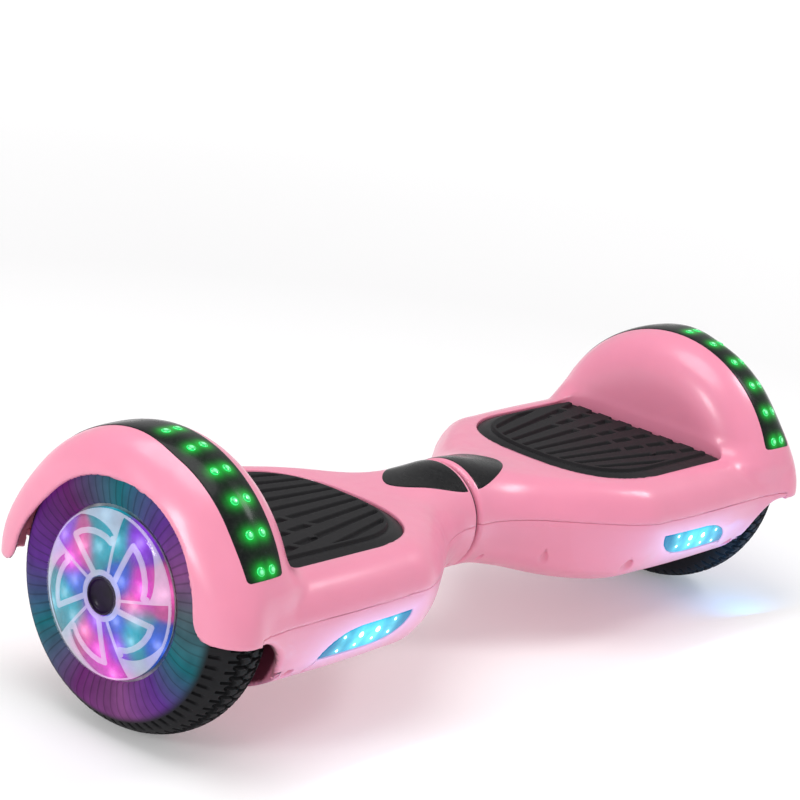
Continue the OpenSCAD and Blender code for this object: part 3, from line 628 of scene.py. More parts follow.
def strip_plate():
    """Rounded band over the fender; its flat outline is (x, arc length back from the top)."""
    half_x = (STRIP_HIGH[0] - STRIP_LOW[0]) / 2
    mid_x = (STRIP_HIGH[0] + STRIP_LOW[0]) / 2
    half_arc = STRIP_SPREAD * FENDER_R
    rim = rounded_rectangle(half_x, half_arc, 2.5)
    spine = np.stack([0 * rim[:, 0], np.clip(rim[:, 1], half_x - half_arc, half_arc - half_x)], axis=1)

    def lay(flat, height):
        x = mid_x + flat[:, 0]
        angle = flat[:, 1] / FENDER_R
        y, z = np.sin(angle), np.cos(angle)
        r = fender_reach(x, y, z, 60 + 0 * x, 110 + 0 * x) + height
        return np.stack([x, r * y, AXLE_Z + r * z], axis=1)

    return drape(rim, spine, lay)


def inlay_plate():
    """Leaf over the neck, widest at the joint and pointed at the deck."""
    x0, x1, half = INLAY_LOW[0], INLAY_HIGH[0], INLAY_HIGH[1]
    power = 2 / 1.7
    t = np.linspace(0, math.pi, 180)
    across = half * np.sign(np.cos(t)) * np.abs(np.cos(t)) ** power
    leaf = np.stack([x0 + (x1 - x0) * np.sin(t) ** power, across], axis=1)
    base = np.stack([np.full(60, x0), np.linspace(-half, half, 62)[1:-1]], axis=1)
    rim = np.concatenate([leaf, base])
    spine = np.broadcast_to(np.array([x0 + 16.0, 0.0]), rim.shape)

    def lay(flat, height):
        x, y = flat.T
        z = root(lambda v: half_body(x, y, v), 95 + 0 * x, 130 + 0 * x)
        return np.stack([x, y, z + height], axis=1)

    return drape(rim, spine, lay)


# ---- tyre
TREAD_PITCH = math.radians(5)
TREAD_ROWS = (241.5, 249.5, 257.5, 265.5, 272.5)
TYRE_R = TYRE_HIGH[2] - AXLE_Z
TYRE_MID_X = 258.0
TYRE_BEAD_R = 62.0
TYRE_OVAL = (2.6, 1.8)
TYRE_INNER_ROUND = 3.4
TYRE_SHOULDER_X = 281.5
TREAD_DEPTH = 2.4
RIB_HEIGHT = 0.5
DISC_R = (LENS_HIGH[1] - LENS_LOW[1]) / 2
TYRE_STEPS = 936
RIB_STEP = 5.0


def tyre_skin(x):
    """Radius of the tyre's crown at x."""
    outer = x > TYRE_MID_X
    half = np.where(outer, TYRE_HIGH[0] - TYRE_MID_X, TYRE_MID_X - TYRE_LOW[0])
    power = np.where(outer, TYRE_OVAL[1], TYRE_OVAL[0])
    u = np.clip(np.abs(x - TYRE_MID_X) / half, 0, 1)
    return TYRE_BEAD_R + (TYRE_R - TYRE_BEAD_R) * (1 - u ** power) ** (1 / power)


def tread(angle, x):
    """Groove depth from 0 to 1: stepped rings, cross cuts between them, and slots along the shoulder."""
    turn = angle / TREAD_PITCH
    saw = np.abs((turn + 0.5) % 1 - 0.5) * 4 - 1
    step = 1.5 * np.clip(saw * 2.5, -1, 1)
    depth = np.zeros(np.broadcast(angle, x).shape)
    for edge in TREAD_ROWS[1:-1]:
        depth = np.maximum(depth, ramp(0.5, -0.3, np.abs(x - edge - step) - 0.75))
    for row, (low, high) in enumerate(zip(TREAD_ROWS, TREAD_ROWS[1:])):
        across = (turn + row * 0.5) % 1 - 0.5
        cut = ramp(0.4, -0.4, np.abs(across) * TREAD_PITCH * TYRE_R - 0.8)
        within = ramp(low - 1, low, x - step) * ramp(high + 1, high, x - step)
        depth = np.maximum(depth, 0.9 * cut * within)
    slot = ramp(0.45, -0.45, np.abs((turn + 0.25) % 1 - 0.5) * TREAD_PITCH * TYRE_R - 1.0)
    return np.maximum(depth, slot * ramp(275.2, 275.9, x) * ramp(281.2, 280.4, x))


def tyre_outline():
    """Closed (x, radius) outline: crown from inside to outside, sidewall, bead, bore."""
    inner, outer = TYRE_LOW[0], TYRE_HIGH[0]
    crown_x = np.concatenate([
        inner + TYRE_INNER_ROUND * (1 - np.cos(np.linspace(0, math.pi / 2, 7)))[:-1],
        np.arange(inner + TYRE_INNER_ROUND, TYRE_SHOULDER_X, 0.62),
        TYRE_SHOULDER_X + (outer - TYRE_SHOULDER_X) * np.sin(np.linspace(0, math.pi / 2, 9)),
    ])
    crown = [(x, tyre_skin(x)) for x in crown_x]
    drop = TYRE_BEAD_R - DISC_R - 2.4
    wall = [(outer - 1.1 * t * t, TYRE_BEAD_R - t * drop) for t in np.linspace(0, 1, 9)[1:]]
    bead = [(outer - 2.0, DISC_R + 1.5), (outer - 4.2, DISC_R + 1.5), (inner + 1, DISC_R + 7)]
    return crown + wall + bead


def tyre_shape():
    """The tyre's points and quads, then per point how far it lies on the sidewall band that gets painted lamp
    light and on a rib.
    """
    points, quads = revolve(tyre_outline(), TYRE_STEPS)
    degrees, r = wheel_polar(points)
    angle = np.radians(degrees) % (2 * math.pi)
    on_tread = (points[:, 0] > TYRE_LOW[0] + 2) & (r > TYRE_BEAD_R + 8)
    sink = TREAD_DEPTH * tread(angle, points[:, 0]) * on_tread
    from_rib = np.abs((degrees / RIB_STEP + 0.5) % 1 - 0.5) * math.radians(RIB_STEP) * r
    band = ramp(DISC_R - 1, DISC_R, r) * ramp(74.5, 69, r) * (points[:, 0] > 275)
    rib = ramp(0.62, 0.2, from_rib) * band
    scale = (r - sink) / r
    points[:, 0] += RIB_HEIGHT * rib
    points[:, 1] *= scale
    points[:, 2] = AXLE_Z + (points[:, 2] - AXLE_Z) * scale
    return points, quads, band, rib


# ---- lights in the wheel
CYAN = (0.0, 0.44, 0.60)
BLUE = (0.02, 0.13, 0.85)
PINK = (1.0, 0.03, 0.80)
VIOLET = (0.32, 0.04, 0.95)
ROSE = (0.97, 0.12, 0.52)
TEAL_GLOW = (0.0, 0.12, 0.15)
PLUM_GLOW = (0.19, 0.05, 0.19)
VIOLET_GLOW = (0.09, 0.02, 0.22)
WINE_GLOW = (0.11, 0.01, 0.12)
GREY_GLOW = (0.06, 0.09, 0.11)

# lamps behind the diffuser: angle in degrees from the front, radius, colour
LAMPS = [
    (25, 30, PINK), (4, 23, ROSE), (-14, 27, CYAN), (-38, 31, CYAN), (-60, 30, VIOLET), (-88, 33, PINK),
    (-114, 28, ROSE), (-138, 30, CYAN), (-163, 33, CYAN), (178, 24, BLUE), (158, 31, PINK), (134, 31, ROSE),
    (108, 27, CYAN), (84, 33, CYAN), (62, 42, VIOLET), (48, 17, BLUE), (-44, 16, BLUE), (-100, 16, VIOLET),
    (-75, 45, PINK), (-20, 45, BLUE), (20, 45, ROSE), (150, 45, VIOLET), (100, 45, CYAN), (-155, 46, CYAN),
]
# painted light: tint that the lamps throw on the sidewall, round the wheel
HALO = [
    (-180, VIOLET_GLOW), (-145, TEAL_GLOW), (-105, WINE_GLOW), (-72, PLUM_GLOW), (-45, VIOLET_GLOW),
    (-20, TEAL_GLOW), (8, GREY_GLOW), (30, PLUM_GLOW), (58, VIOLET_GLOW), (92, TEAL_GLOW),
    (132, WINE_GLOW), (180, VIOLET_GLOW),
]


DOME_RISE = 6.5


def diffused(points):
    """Blurred colour of the lamps at each point."""
    total = np.full((len(points), 3), 1e-4)
    weight = np.full(len(points), 1e-3)
    _, y, z = points.T
    glint = np.zeros(len(points))
    for degrees, radius, colour in LAMPS:
        u, v = polar(degrees, radius)
        d2 = (y + u) ** 2 + (z - AXLE_Z - v) ** 2
        w = np.exp(-d2 / 42.0)
        glint = np.maximum(glint, np.exp(-d2 / 9.0))
        total += w[:, None] * np.array(colour)
        weight += w
    level = 0.5 + 0.45 * np.minimum(weight, 1)
    return total * (level / weight)[:, None] + 0.22 * glint[:, None]


def halo(points):
    """Colour of the painted lamp light on the sidewall at each point."""
    degrees, _ = wheel_polar(points)
    knots, colours = zip(*HALO)
    return np.stack([np.interp(degrees, knots, channel) for channel in zip(*colours)], axis=1)


def dome_x(r):
    """Outer face of the clear wheel cover."""
    s = np.clip((r - HUB_HIGH[1]) / (DISC_R - HUB_HIGH[1]), 0, 1)
    edge = LENS_HIGH[0] - DOME_RISE
    return edge + DOME_RISE * np.sqrt(1 - s * s)


def dome_layer(r0, r1, top, bottom, rings=40):
    """Closed outline of a sheet that follows the dome, between two depths under its outer face."""
    s = np.sin(np.linspace(0, math.pi / 2, rings))
    r = r0 + (r1 - r0) * s
    upper = [(dome_x(v) - top, v) for v in r]
    lower = [(dome_x(v) - bottom, v) for v in r[::-1]]
    return upper + lower


def segment(u, v, a, b):
    """Distance from (u, v) to the line from a to b."""
    du, dv = b[0] - a[0], b[1] - a[1]
    t = np.clip(((u - a[0]) * du + (v - a[1]) * dv) / (du * du + dv * dv), 0, 1)
    return np.hypot(u - a[0] - t * du, v - a[1] - t * dv)


def polar(degrees, radius):
    a = math.radians(degrees)
    return radius * math.cos(a), radius * math.sin(a)


def blade(u, v):
    """One fifth of the wheel cover's trim: a spoke, a rounded loop and a wedge at the rim."""
    r = np.hypot(u, v)
    turn = np.degrees(np.arctan2(v, u))
    spoke = segment(u, v, polar(2, 12), polar(9, 47.5)) - 0.75
    corner = polar(60, 38.5)
    loop = segment(u, v, polar(48, 12.5), corner) - 1.6
    bend = [polar(12 + 48 * t, 31.5 + 8.2 * t ** 0.8 - 1.2 * t ** 6) for t in np.linspace(0, 1, 7)]
    for a, b in zip(bend, bend[1:]):
        loop = np.minimum(loop, segment(u, v, a, b) - 1.6)
    foot = segment(u, v, polar(12, 31.5), polar(11, 34)) - 1.6
    inner = 34.8 + 13.5 * np.clip((turn - 8.5) / 46, 0, 1) ** 0.75
    wedge = np.maximum(np.maximum(inner - r, r - 47.6), np.maximum(9 - turn, turn - 56) * 0.7)
    return np.minimum(np.minimum(spoke, loop), np.minimum(foot, wedge))


def trim_outline(y, z):
    """Hub ring, rim ring and five blades."""
    u, v = -y, z - AXLE_Z
    r = np.hypot(u, v)
    field = np.maximum(11.6 - r, r - 14.6)
    field = np.minimum(field, np.abs(r - 47.9) - 0.5)
    for k in range(5):
        c, s = polar(72 * k + 4, 1)
        field = np.minimum(field, blade(u * c + v * s, v * c - u * s))
    return field


def wheel_trim(x, y, z):
    """Trim printed behind the clear cover, following its curve."""
    r = from_axle(y, z)
    plate = np.abs(x - dome_x(r) + 1.75) - 0.4
    return np.maximum(np.maximum(trim_outline(y, z), plate), 11.4 - r)


# ---- small lamps
def dome(radius, height, rings=7, sides=24):
    """Closed spherical cap on the xy plane: points, faces and the share of the radius of each point."""
    t = np.linspace(0, math.pi / 2, rings)[:-1]
    a = np.linspace(0, 2 * math.pi, sides, endpoint=False)
    share = [math.cos(p) for p in t for _ in a]
    points = [(radius * math.cos(p) * math.cos(q), radius * math.cos(p) * math.sin(q),
               height * math.sin(p)) for p in t for q in a]
    faces = [tuple(f) for f in lattice(rings - 1, sides, closed_rows=False)[:, ::-1]]
    last = (rings - 2) * sides
    faces.append(tuple(range(last, last + sides)))
    faces.append(tuple(range(sides - 1, -1, -1)))
    return np.array(points), faces, share


def domes(sites):
    """One shape from many domes; a site is (centre, normal, radius, height)."""
    points, faces, shares = [], [], []
    for centre, normal, radius, height in sites:
        cap, cap_faces, share = dome(radius, height)
        n = np.array(normal, float) / np.linalg.norm(normal)
        u = np.cross(n, (1, 0, 0) if abs(n[0]) < 0.9 else (0, 0, 1))
        u /= np.linalg.norm(u)
        turned = np.array(centre) + cap @ np.stack([u, np.cross(n, u), n])
        start = sum(len(p) for p in points)
        points.append(turned)
        faces += [tuple(i + start for i in f) for f in cap_faces]
        shares += share
    return np.concatenate(points), faces, shares


def fender_led_sites():
    sites = []
    for degrees in LED_ANGLES:
        for x in (LED_X - LED_OFFSET, LED_X + LED_OFFSET):
            front, z = polar(degrees, 1)
            y = -front
            r = fender_reach(x, y, z, 70, 105)
            lean = 0.02 * (x - FENDER_X[1])
            sites.append(((x, r * y, AXLE_Z + r * z), (lean, y, z), 2.8, 1.1))
    return sites


def headlight_sites():
    sites = []
    for x, z, radius in HEADLIGHT_POINTS:
        y = -root(lambda v: deck(x, -v, z), 70, 95)
        sites.append(((x, y + 0.25, z), (0, -1, -0.1), radius * 0.62, radius * 0.3))
    return sites


# ---- materials
class Shader:
    """A material's node tree, with the calls that the materials share. Lengths are millimetres."""

    def __init__(self, name, colour=None, roughness=0.5, metallic=0.0, coat=0.0, shine=0.5):
        self.material = bpy.data.materials.new(name)
        self.material.use_nodes = True
        self.nodes = self.material.node_tree.nodes
        self.links = self.material.node_tree.links
        self.principled = self.nodes["Principled BSDF"]
        self.where = self.nodes.new("ShaderNodeTexCoord").outputs["Object"]
        self.put("Metallic", metallic)
        self.put("Coat Weight", coat)
        self.put("Roughness", roughness)
        self.put("Specular IOR Level", shine)
        if colour:
            self.put("Base Color", colour)

    def put(self, socket, value, node=None):
        """Links an input or sets it; a colour is three numbers."""
        target = (node or self.principled).inputs[socket]
        if isinstance(value, bpy.types.NodeSocket):
            self.links.new(value, target)
        elif target.type == "RGBA":
            target.default_value = (*value, 1)
        else:
            target.default_value = value

    def add(self, kind, inputs=(), **settings):
        node = self.nodes.new("ShaderNode" + kind)
        for key, value in settings.items():
            setattr(node, key, value)
        for key, value in dict(inputs).items():
            self.put(key, value, node)
        return node

    def noise(self, size, detail=3.0, stretch=None):
        """Noise from 0 to 1 whose features are about size across."""
        source = self.where
        if stretch:
            source = self.add("Mapping", {"Vector": source, "Scale": stretch}).outputs[0]
        inputs = {"Vector": source, "Scale": 1 / (size * MM), "Detail": detail}
        return self.add("TexNoise", inputs).outputs["Fac"]

    def span(self, value, low, high, to_low, to_high):
        names = ("Value", "From Min", "From Max", "To Min", "To Max")
        return self.add("MapRange", dict(zip(names, (value, low, high, to_low, to_high)))).outputs[0]

    def uneven(self, size, low, high, detail=3.0):
        """Values from low to high in patches about size across."""
        return self.span(self.noise(size, detail), 0.3, 0.7, low, high)

    def maths(self, operation, a, b=0.0):
        return self.add("Math", {0: a, 1: b}, operation=operation).outputs[0]

    def blend(self, share, a, b):
        """Colour a where share is 0 and b where it is 1."""
        return self.add("Mix", {0: share, 6: a, 7: b}, data_type="RGBA").outputs[2]

    def tint(self, share, colour):
        """Blends the base colour linked so far towards another."""
        now = self.principled.inputs["Base Color"].links[0].from_socket
        self.put("Base Color", self.blend(share, now, colour))

    def bump(self, height, depth, base=None):
        inputs = {"Height": height, "Distance": depth * MM, "Strength": 1.0}
        if base:
            inputs["Normal"] = base
        return self.add("Bump", inputs).outputs[0]

    def relief(self, height, depth):
        self.put("Normal", self.bump(height, depth))

    def moulded(self, grain, depth):
        """Fine grain over faint waves."""
        fine = self.bump(self.noise(grain, 2), depth)
        self.put("Normal", self.bump(self.noise(40), 0.12, fine))

    def attribute(self, name, output="Fac"):
        return self.add("Attribute", attribute_name=name).outputs[output]

    def worn(self):
        """1 on convex edges, broken up by noise."""
        edge = self.span(self.add("NewGeometry").outputs["Pointiness"], 0.51, 0.58, 0, 1)
        return self.maths("MULTIPLY", edge, self.span(self.noise(6), 0.35, 0.65, 0, 1))

    def glow(self, colour, strength=1.0):
        self.put("Emission Color", colour)
        self.put("Emission Strength", strength)


def tone(colour, factor):
    return tuple(min(1.0, c * factor) for c in colour)


def plastic(name, colour, roughness=0.45, grain=0.6, depth=0.02, shade=0.9, coat=0.0, wear=0.35):
    """Moulded plastic or rubber: patchy tone, smudged gloss, fine grain and pale edges."""
    s = Shader(name, coat=coat)
    base = s.blend(s.uneven(28, 0, 1), tone(colour, shade), colour)
    s.put("Base Color", s.blend(s.maths("MULTIPLY", s.worn(), wear), base, tone(colour, 1.7)))
    s.put("Roughness", s.uneven(9, roughness - 0.06, roughness + 0.08, 5))
    s.moulded(grain, depth)
    return s


def metal(name, colour, roughness=0.32, stretch=(1, 1, 1), depth=0.015):
    """Machined or cast metal: streaks, spots and rubbed edges."""
    s = Shader(name, metallic=1.0)
    streak = s.noise(1.6, 4, stretch)
    base = s.blend(s.span(streak, 0.3, 0.7, 0, 1), tone(colour, 0.78), colour)
    s.put("Base Color", s.blend(s.worn(), base, tone(colour, 1.35)))
    s.put("Roughness", s.uneven(5, roughness - 0.08, roughness + 0.12, 5))
    s.relief(streak, depth)
    return s


def shell_paint():
    """Satin pink plastic, with painted shade inside the shells and painted light from the headlights close to
    them.
    """
    s = plastic("shell_pink", PINK_BASE, 0.36, grain=0.5, depth=0.006, shade=0.965, coat=0.5, wear=0.12)
    # painted shade: the shells' inner faces are darkened towards a deep red
    s.tint(s.attribute("buried"), (0.10, 0.012, 0.03))
    s.put("Coat Roughness", 0.2)
    s.put("Subsurface Weight", 0.04)
    # painted light: the shells glow pale blue round the headlights
    s.glow((0.35, 0.55, 1.0), s.maths("MULTIPLY", s.attribute("lamp_glow"), 0.5))
    return s


def gloss_trim():
    """Piano-black plastic with hair scratches, with painted green light round the lamps where it carries them."""
    s = Shader("gloss_trim", coat=0.05, shine=0.12)
    dust = s.span(s.noise(2.2, 6), 0.4, 0.75, 0, 1)
    s.put("Base Color", s.blend(dust, (0.005, 0.005, 0.006), (0.012, 0.012, 0.013)))
    s.put("Roughness", s.uneven(12, 0.2, 0.32, 5))
    s.relief(s.noise(0.6, 3, (1, 14, 14)), 0.0006)
    # painted light: green glow round the fender lamps
    s.glow((0.0, 0.5, 0.035), s.attribute("lamp_glow"))
    return s


def pad_rubber():
    """Matte moulded rubber with dust; the bevelled rim is smoother."""
    s = Shader("pad_rubber", shine=0.14)
    dust = s.span(s.noise(3, 6), 0.52, 0.72, 0, 0.5)
    s.put("Base Color", s.blend(dust, (0.0125, 0.012, 0.0135), (0.022, 0.021, 0.023)))
    s.put("Roughness", s.span(s.attribute("rim"), 0, 1, 0.62, 0.42))
    s.moulded(0.35, 0.03)
    return s


def tyre_rubber():
    """Black rubber; the sidewall has painted light in the colours of the wheel's lamps, weaker on the ribs."""
    s = plastic("tyre_rubber", (0.013, 0.013, 0.0145), 0.6, grain=0.5, depth=0.03, shade=0.7, wear=0.6)
    s.put("Specular IOR Level", s.span(s.attribute("band"), 0, 1, 0.12, 0.03))
    on_rib = s.span(s.attribute("rib"), 0, 1, 1.1, 0.62)
    lit = s.maths("MULTIPLY", s.uneven(14, 0.75, 1.1, 2), on_rib)
    # painted light: the sidewall band glows in the lamps' colours, less on the ribs
    s.glow(s.attribute("halo", "Color"), s.maths("MULTIPLY", lit, s.attribute("band")))
    return s


def diffuser():
    """Milky disc lit from behind."""
    s = Shader("light_diffuser", (0.01, 0.01, 0.015), roughness=0.4, shine=0.1)
    s.glow(s.attribute("halo", "Color"), s.uneven(4, 0.85, 1.12, 1))
    s.relief(s.noise(2.5, 1), 0.05)
    return s


def trim_print():
    """Pale film that lets some of the colour behind it through."""
    s = Shader("trim_film", (0.05, 0.045, 0.06), roughness=0.35, shine=0.2)
    wash = s.blend(0.42, s.attribute("halo", "Color"), (0.84, 0.78, 1.0))
    s.glow(wash, s.uneven(6, 0.86, 1.0, 2))
    s.relief(s.noise(1.5, 2), 0.02)
    return s


def clear_cover():
    """Clear plastic: see-through, with a reflection that grows at grazing angles."""
    s = Shader("clear_cover")
    facing = s.add("LayerWeight", {"Blend": 0.5}).outputs["Facing"]
    share = s.span(s.maths("POWER", facing, 3.0), 0, 1, 0.015, 0.35)
    through = s.add("BsdfTransparent", {"Color": (1, 1, 1)})
    ripple = s.bump(s.noise(18, 2), 0.05)
    smudge = s.uneven(7, 0.04, 0.10, 4)
    shine = s.add("BsdfGlossy", {"Roughness": smudge, "Color": (1, 1, 1), "Normal": ripple})
    mixed = s.add("MixShader", {0: share, 1: through.outputs[0], 2: shine.outputs[0]})
    s.put("Surface", mixed.outputs[0], s.nodes["Material Output"])
    return s


def headlight_plastic():
    """Tinted lens, brightest round its lamps."""
    s = Shader("headlight_lens", (0.0, 0.02, 0.04), roughness=0.15, coat=0.1, shine=0.2)
    s.glow(s.attribute("lamp_colour", "Color"), s.uneven(3, 0.92, 1.08, 2))
    s.relief(s.noise(1.2, 1, (1, 1, 6)), 0.02)
    return s


def lamp_point():
    """White lamp with a cyan rim."""
    s = Shader("lamp_point", (0.8, 0.95, 1.0), roughness=0.2)
    core = s.blend(s.attribute("share"), (1.0, 1.0, 1.0), (0.30, 0.92, 1.0))
    s.glow(core, s.span(s.noise(2), 0, 1, 1.8, 2.4))
    return s


def green_lamp():
    """Green lamp: a bright ring and a paler core."""
    s = Shader("green_lamp", (0.0, 0.3, 0.06), roughness=0.12, coat=0.5)
    share = s.attribute("share")
    core = s.blend(s.span(share, 0.25, 0.6, 0, 1), (0.30, 0.95, 0.50), (0.0, 0.30, 0.055))
    ring = s.blend(s.span(share, 0.78, 0.94, 0, 1), core, (0.02, 0.88, 0.19))
    s.glow(ring, s.span(s.noise(1), 0.2, 0.8, 0.9, 1.15))
    return s


def hub_gloss():
    """Black gloss with a faint painted violet glow from the lamps round it."""
    s = Shader("hub_gloss", (0.006, 0.005, 0.008), coat=0.04, shine=0.15)
    s.put("Roughness", s.uneven(5, 0.3, 0.45, 4))
    s.relief(s.noise(3, 3), 0.02)
    # painted light: patchy violet glow standing in for the lamps' light on the cup
    s.glow((0.05, 0.01, 0.12), s.span(s.noise(16), 0.35, 0.7, 0.0, 0.25))
    return s


def board_green():
    """Circuit board: solder mask over faint copper tracks."""
    s = Shader("circuit_board", coat=0.2)
    cells = s.add("TexVoronoi", {"Vector": s.where, "Scale": 260.0}, distance="MANHATTAN")
    track = s.span(cells.outputs["Distance"], 0.45, 0.5, 0, 1)
    s.put("Base Color", s.blend(track, (0.004, 0.06, 0.025), (0.02, 0.16, 0.06)))
    s.put("Roughness", s.uneven(4, 0.28, 0.42))
    s.relief(track, 0.03)
    return s


def copper_wire():
    """Copper wound side by side."""
    s = metal("copper_wire", (0.72, 0.3, 0.12), roughness=0.3)
    inputs = {"Vector": s.where, "Scale": 420.0, "Distortion": 0.6}
    s.relief(s.add("TexWave", inputs, bands_direction="X").outputs["Fac"], 0.25)
    return s


def wrapped_cells():
    """Shrink wrap over round cells."""
    s = plastic("battery_wrap", (0.02, 0.09, 0.32), 0.3, coat=0.3)
    cells = s.add("TexWave", {"Vector": s.where, "Scale": 17.0}, bands_direction="X").outputs["Fac"]
    s.relief(cells, 1.2)
    return s


def slot_materials():
    """One finish for each of the record's material slots."""
    return {
        "casting": metal("cast_alloy", (0.36, 0.37, 0.39), 0.5, depth=0.06),
        "steel": metal("machined_steel", (0.52, 0.53, 0.55), 0.28, (1, 12, 12)),
        "black_steel": metal("black_steel", (0.06, 0.06, 0.065), 0.38),
        "lamination": metal("steel_laminations", (0.30, 0.31, 0.33), 0.4, (30, 1, 1), 0.04),
        "copper": copper_wire(),
        "magnet": metal("magnet_plating", (0.46, 0.45, 0.44), 0.2),
        "bronze": metal("sintered_bronze", (0.42, 0.27, 0.12), 0.42, depth=0.05),
        "tyre": plastic("bead_rubber", (0.018, 0.018, 0.02), 0.6),
        "led_board": plastic("lamp_board", (0.72, 0.72, 0.70), 0.35, coat=0.2),
        "wheel_lens": plastic("milk_lens", (0.6, 0.55, 0.65), 0.2, coat=0.3),
        "gloss_black": plastic("black_trim", (0.008, 0.008, 0.009), 0.15, coat=0.6),
        "pad_rubber": plastic("plain_rubber", (0.018, 0.018, 0.02), 0.65),
        "circuit_board": board_green(),
        "green_led": plastic("green_resin", (0.05, 0.6, 0.15), 0.2, coat=0.4),
        "blue_lens": plastic("blue_resin", (0.05, 0.4, 0.7), 0.2, coat=0.4),
        "battery_wrap": wrapped_cells(),
        "cable": plastic("cable_jacket", (0.02, 0.02, 0.022), 0.5),
        "button": plastic("button_plastic", (0.03, 0.03, 0.033), 0.35, coat=0.3),
        "cap_rubber": plastic("cap_rubber", (0.025, 0.024, 0.026), 0.7),
        "switch_body": plastic("switch_body", (0.03, 0.03, 0.03), 0.5),
        "shell": plastic("plain_shell", PINK_BASE, 0.35, coat=0.2),
    }


def dress_frame():
    """Gives each CAD node the finish of its slot."""
    finishes = slot_materials()
    slots = {part["node"]: part["material_slot"] for part in frame["record"]["subparts"]}
    for name, node in frame["nodes"].items():
        node.data.materials.clear()
        node.data.materials.append(finishes[slots[name]].material)


# ---- the pieces
def lamp_glow(points):
    """Painted light that a headlight throws on the shell round it, from 0 to 1."""
    x, y, z = np.abs(points[:, 0]), points[:, 1], points[:, 2]
    away = np.maximum(lamp_outline(x, z), 0)
    outside = ramp(-1.6, -0.6, deck(x, y, z))
    return np.exp(-away / 9.0) * outside * (y < FRONT_Y) * ramp(97, 80, z)


def buried(points):
    """Painted shade: 1 on the inner faces of the shells, where little light gets in."""
    x, y, z = points.T
    return ramp(-1.2, -2.4, deck(x, y, z)) * ramp(-1.2, -2.4, fender(x, y, z))


def add_shells(finish):
    upper = surface(upper_shell, (-1, -104, 70), (296, 104, 183), SHELL_VOXEL)
    place("upper_casing", upper, finish, lamp_glow=0.6 * lamp_glow(upper[0]), buried=buried(upper[0]))
    for side in SIDES:
        shape = functools.partial(lower_shell, controls=side == "right")
        lower = surface(shape, (-1, -103, 30), (266, 103, 91), SHELL_VOXEL)
        values = {"lamp_glow": lamp_glow(lower[0]), "buried": buried(lower[0])}
        place("lower_casing", lower, finish, sides=[side], **values)


def add_pads(finish):
    pad = surface(foot_pad, (82, -72, 98), (224, 72, 116), PAD_VOXEL)
    x, y, _ = pad[0].T
    place("foot_mat", pad, finish, rim=ramp(-9.4, -8.6, pad_outline(x, y)))


def add_trim(finish):
    """Black bands over the fenders, with painted light round their lamps, and black leaves on the neck."""
    strip = strip_plate()
    centres = np.array([site[0] for site in fender_led_sites()])
    near = np.linalg.norm(strip[0][:, None, :] - centres[None], axis=2)
    # painted light: how much green glow each point of the band gets from the lamps near it
    glow = np.exp(-np.maximum(near - 2.4, 0) ** 1.2 / 2.6).sum(axis=1)
    place("fender_band", strip, finish, 40, lamp_glow=glow)
    inlay = inlay_plate()
    place("neck_trim", inlay, finish, 40, lamp_glow=np.zeros(len(inlay[0])))


def headlight_colour(points):
    """Deep blue at the tips, cyan in the middle and white by the lamps."""
    x, _, z = points.T
    middle = np.exp(-((x - 166) / 24) ** 2)[:, None]
    colour = np.array([0.0, 0.15, 0.36]) * (1 - middle) + np.array([0.0, 0.55, 0.86]) * middle
    for px, pz, radius in HEADLIGHT_POINTS:
        near = np.exp(-((x - px) ** 2 + (z - pz) ** 2) / (2.2 * radius) ** 2)[:, None]
        colour = colour + near * np.array([0.12, 0.36, 0.30])
    return colour


def add_lamps():
    """Headlight windows, the lamps in them and the lamps on the fenders."""
    lens = surface(headlight_lens, (124, -96, 55), (209, -80, 83), LENS_VOXEL)
    place("headlight_window", lens, headlight_plastic(), lamp_colour=headlight_colour(lens[0]))
    for piece, sites, finish in (("headlight_lamps", headlight_sites(), lamp_point()),
                                 ("fender_lamps", fender_led_sites(), green_lamp())):
        *caps, share = domes(sites)
        place(piece, caps, finish, share=share)


def hub_cup():
    """Closed outline of the dark cup in the middle of the wheel."""
    r = HUB_HIGH[1]
    top = HUB_HIGH[0]
    lip = [(top - 0.8, r), (top - 0.2, r - 0.35), (top, r - 0.8), (top - 0.3, r - 1.3)]
    turns = np.linspace(0.05, 1.57, 12)
    bowl = [(top - 1.2 - 3.4 * math.sin(t), (r - 1.5) * math.cos(t) + 0.02) for t in turns]
    return [(HUB_LOW[0], 0.02), (HUB_LOW[0], r)] + lip + bowl


def add_wheels():
    """Tyres, and on each wheel a lit disc, its trim, a clear cover and the dark cup in the middle."""
    *tyre, band, rib = tyre_shape()
    place("tyre_tread", tyre, tyre_rubber(), 38, halo=halo(tyre[0]), band=band, rib=rib)
    disc = revolve(dome_layer(10.8, DISC_R - 0.2, 3.0, 3.6), 240)
    place("light_diffuser", disc, diffuser(), 50, halo=diffused(disc[0]))
    trim = surface(wheel_trim, (281, -50, AXLE_Z - 50), (296, 50, AXLE_Z + 50), TRIM_VOXEL)
    place("wheel_trim", trim, trim_print(), halo=diffused(trim[0]))
    cover = revolve(dome_layer(HUB_HIGH[1] + 0.2, DISC_R, 0.0, 1.2), 240)
    place("clear_cover", cover, clear_cover(), 50)
    place("hub_cup", revolve(hub_cup(), 96), hub_gloss(), 40)


# ---- stage
def add_floor():
    """Pale floor that fades into a bright background."""
    s = Shader("floor")
    s.put("Base Color", s.blend(s.noise(900), (0.71, 0.705, 0.71), (0.75, 0.745, 0.75)))
    away = s.add("VectorMath", {0: s.where}, operation="LENGTH").outputs["Value"]
    s.glow((1.0, 1.0, 1.0), s.span(away, 0.9, 3.0, 0.24, 0.8))
    mesh = bpy.data.meshes.new("floor")
    corners = [(x * FLOOR_REACH, y * FLOOR_REACH, 0) for x, y in ((-1, -1), (1, -1), (1, 1), (-1, 1))]
    mesh.from_pydata(corners, [], [(0, 1, 2, 3)])
    mesh.materials.append(s.material)
    into_scene("floor", mesh)


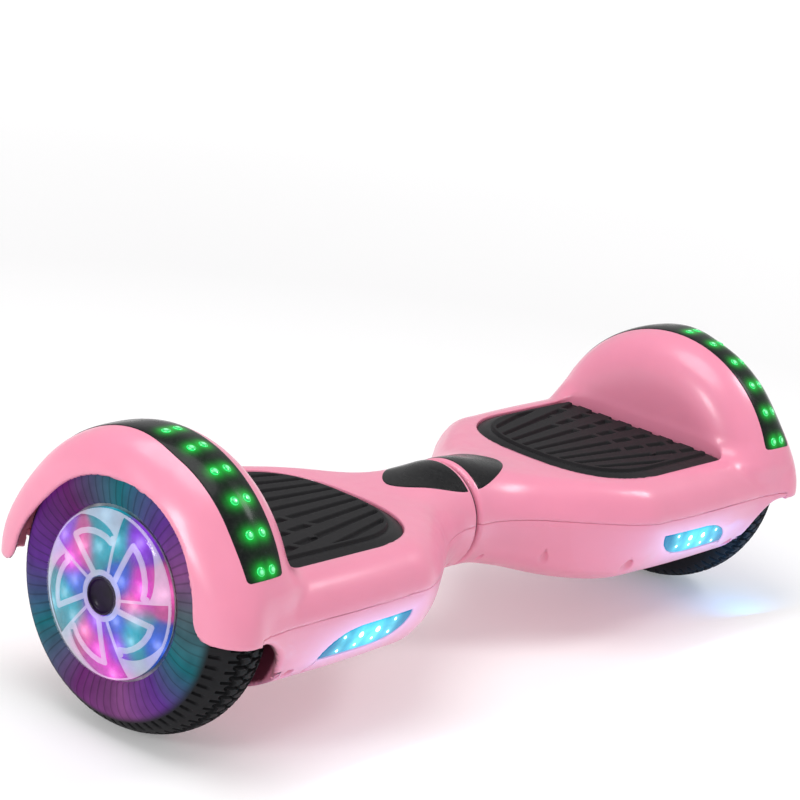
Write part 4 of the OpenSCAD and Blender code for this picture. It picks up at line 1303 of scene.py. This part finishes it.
def add_light(name, place_at, aim, size, power, colour=(1, 1, 1)):
    """Round soft light, in metres and watts."""
    light = bpy.data.lights.new(name, "AREA")
    light.shape = "DISK"
    light.size = size
    light.energy = power
    light.color = colour
    lamp = into_scene(name, light)
    lamp.location = place_at
    direction = Vector(aim) - lamp.location
    lamp.rotation_euler = direction.to_track_quat("-Z", "Y").to_euler()


def light_studio():
    """Even white surroundings, three soft lights and the headlights' beams."""
    world = bpy.data.worlds.new("studio")
    world.use_nodes = True
    background = world.node_tree.nodes["Background"].inputs
    background["Color"].default_value = (1.0, 1.0, 1.0, 1)
    background["Strength"].default_value = 0.6
    bpy.context.scene.world = world
    add_light("overhead", (-0.5, 0.1, 1.7), (0, 0, 0.1), 1.2, 15)
    add_light("left_end", (-1.95, 0.1, 0.85), (-0.25, 0, 0.12), 0.45, 10)
    add_light("right_shoulder", (0.95, -0.7, 1.5), (0.05, 0, 0.1), 0.55, 8)
    add_light("beam_on_tyre", (0.25, -0.1, 0.03), (0.265, -0.03, 0.04), 0.05, 0.03, (0.0, 0.4, 1.0))
    for x in (-0.166, 0.166):
        add_light("headlight_beam", (x, -0.12, 0.06), (x, -0.4, 0.0), 0.03, 0.12, (0.3, 0.8, 1.0))


def add_camera():
    """Looks down on the left end from the front left, with the board rising to the right."""
    yaw, pitch, roll = (math.radians(a) for a in (CAMERA_YAW, CAMERA_PITCH, CAMERA_ROLL))
    flat = math.cos(pitch)
    ahead = Vector((math.sin(yaw) * flat, math.cos(yaw) * flat, -math.sin(pitch)))
    level = Vector((math.cos(yaw), -math.sin(yaw), 0))
    upright = level.cross(ahead)
    right = level * math.cos(roll) + upright * math.sin(roll)
    up = upright * math.cos(roll) - level * math.sin(roll)
    data = bpy.data.cameras.new("camera")
    data.lens = CAMERA_LENS
    camera = into_scene("camera", data)
    turn = Matrix((right, up, -ahead)).transposed().to_4x4()
    camera.matrix_world = Matrix.Translation(CAMERA_AT) @ turn
    bpy.context.scene.camera = camera


bpy.context.scene.view_settings.view_transform = "Standard"
dress_frame()
add_shells(shell_paint())
add_pads(pad_rubber())
add_trim(gloss_trim())
add_lamps()
add_wheels()
add_floor()
light_studio()
add_camera()
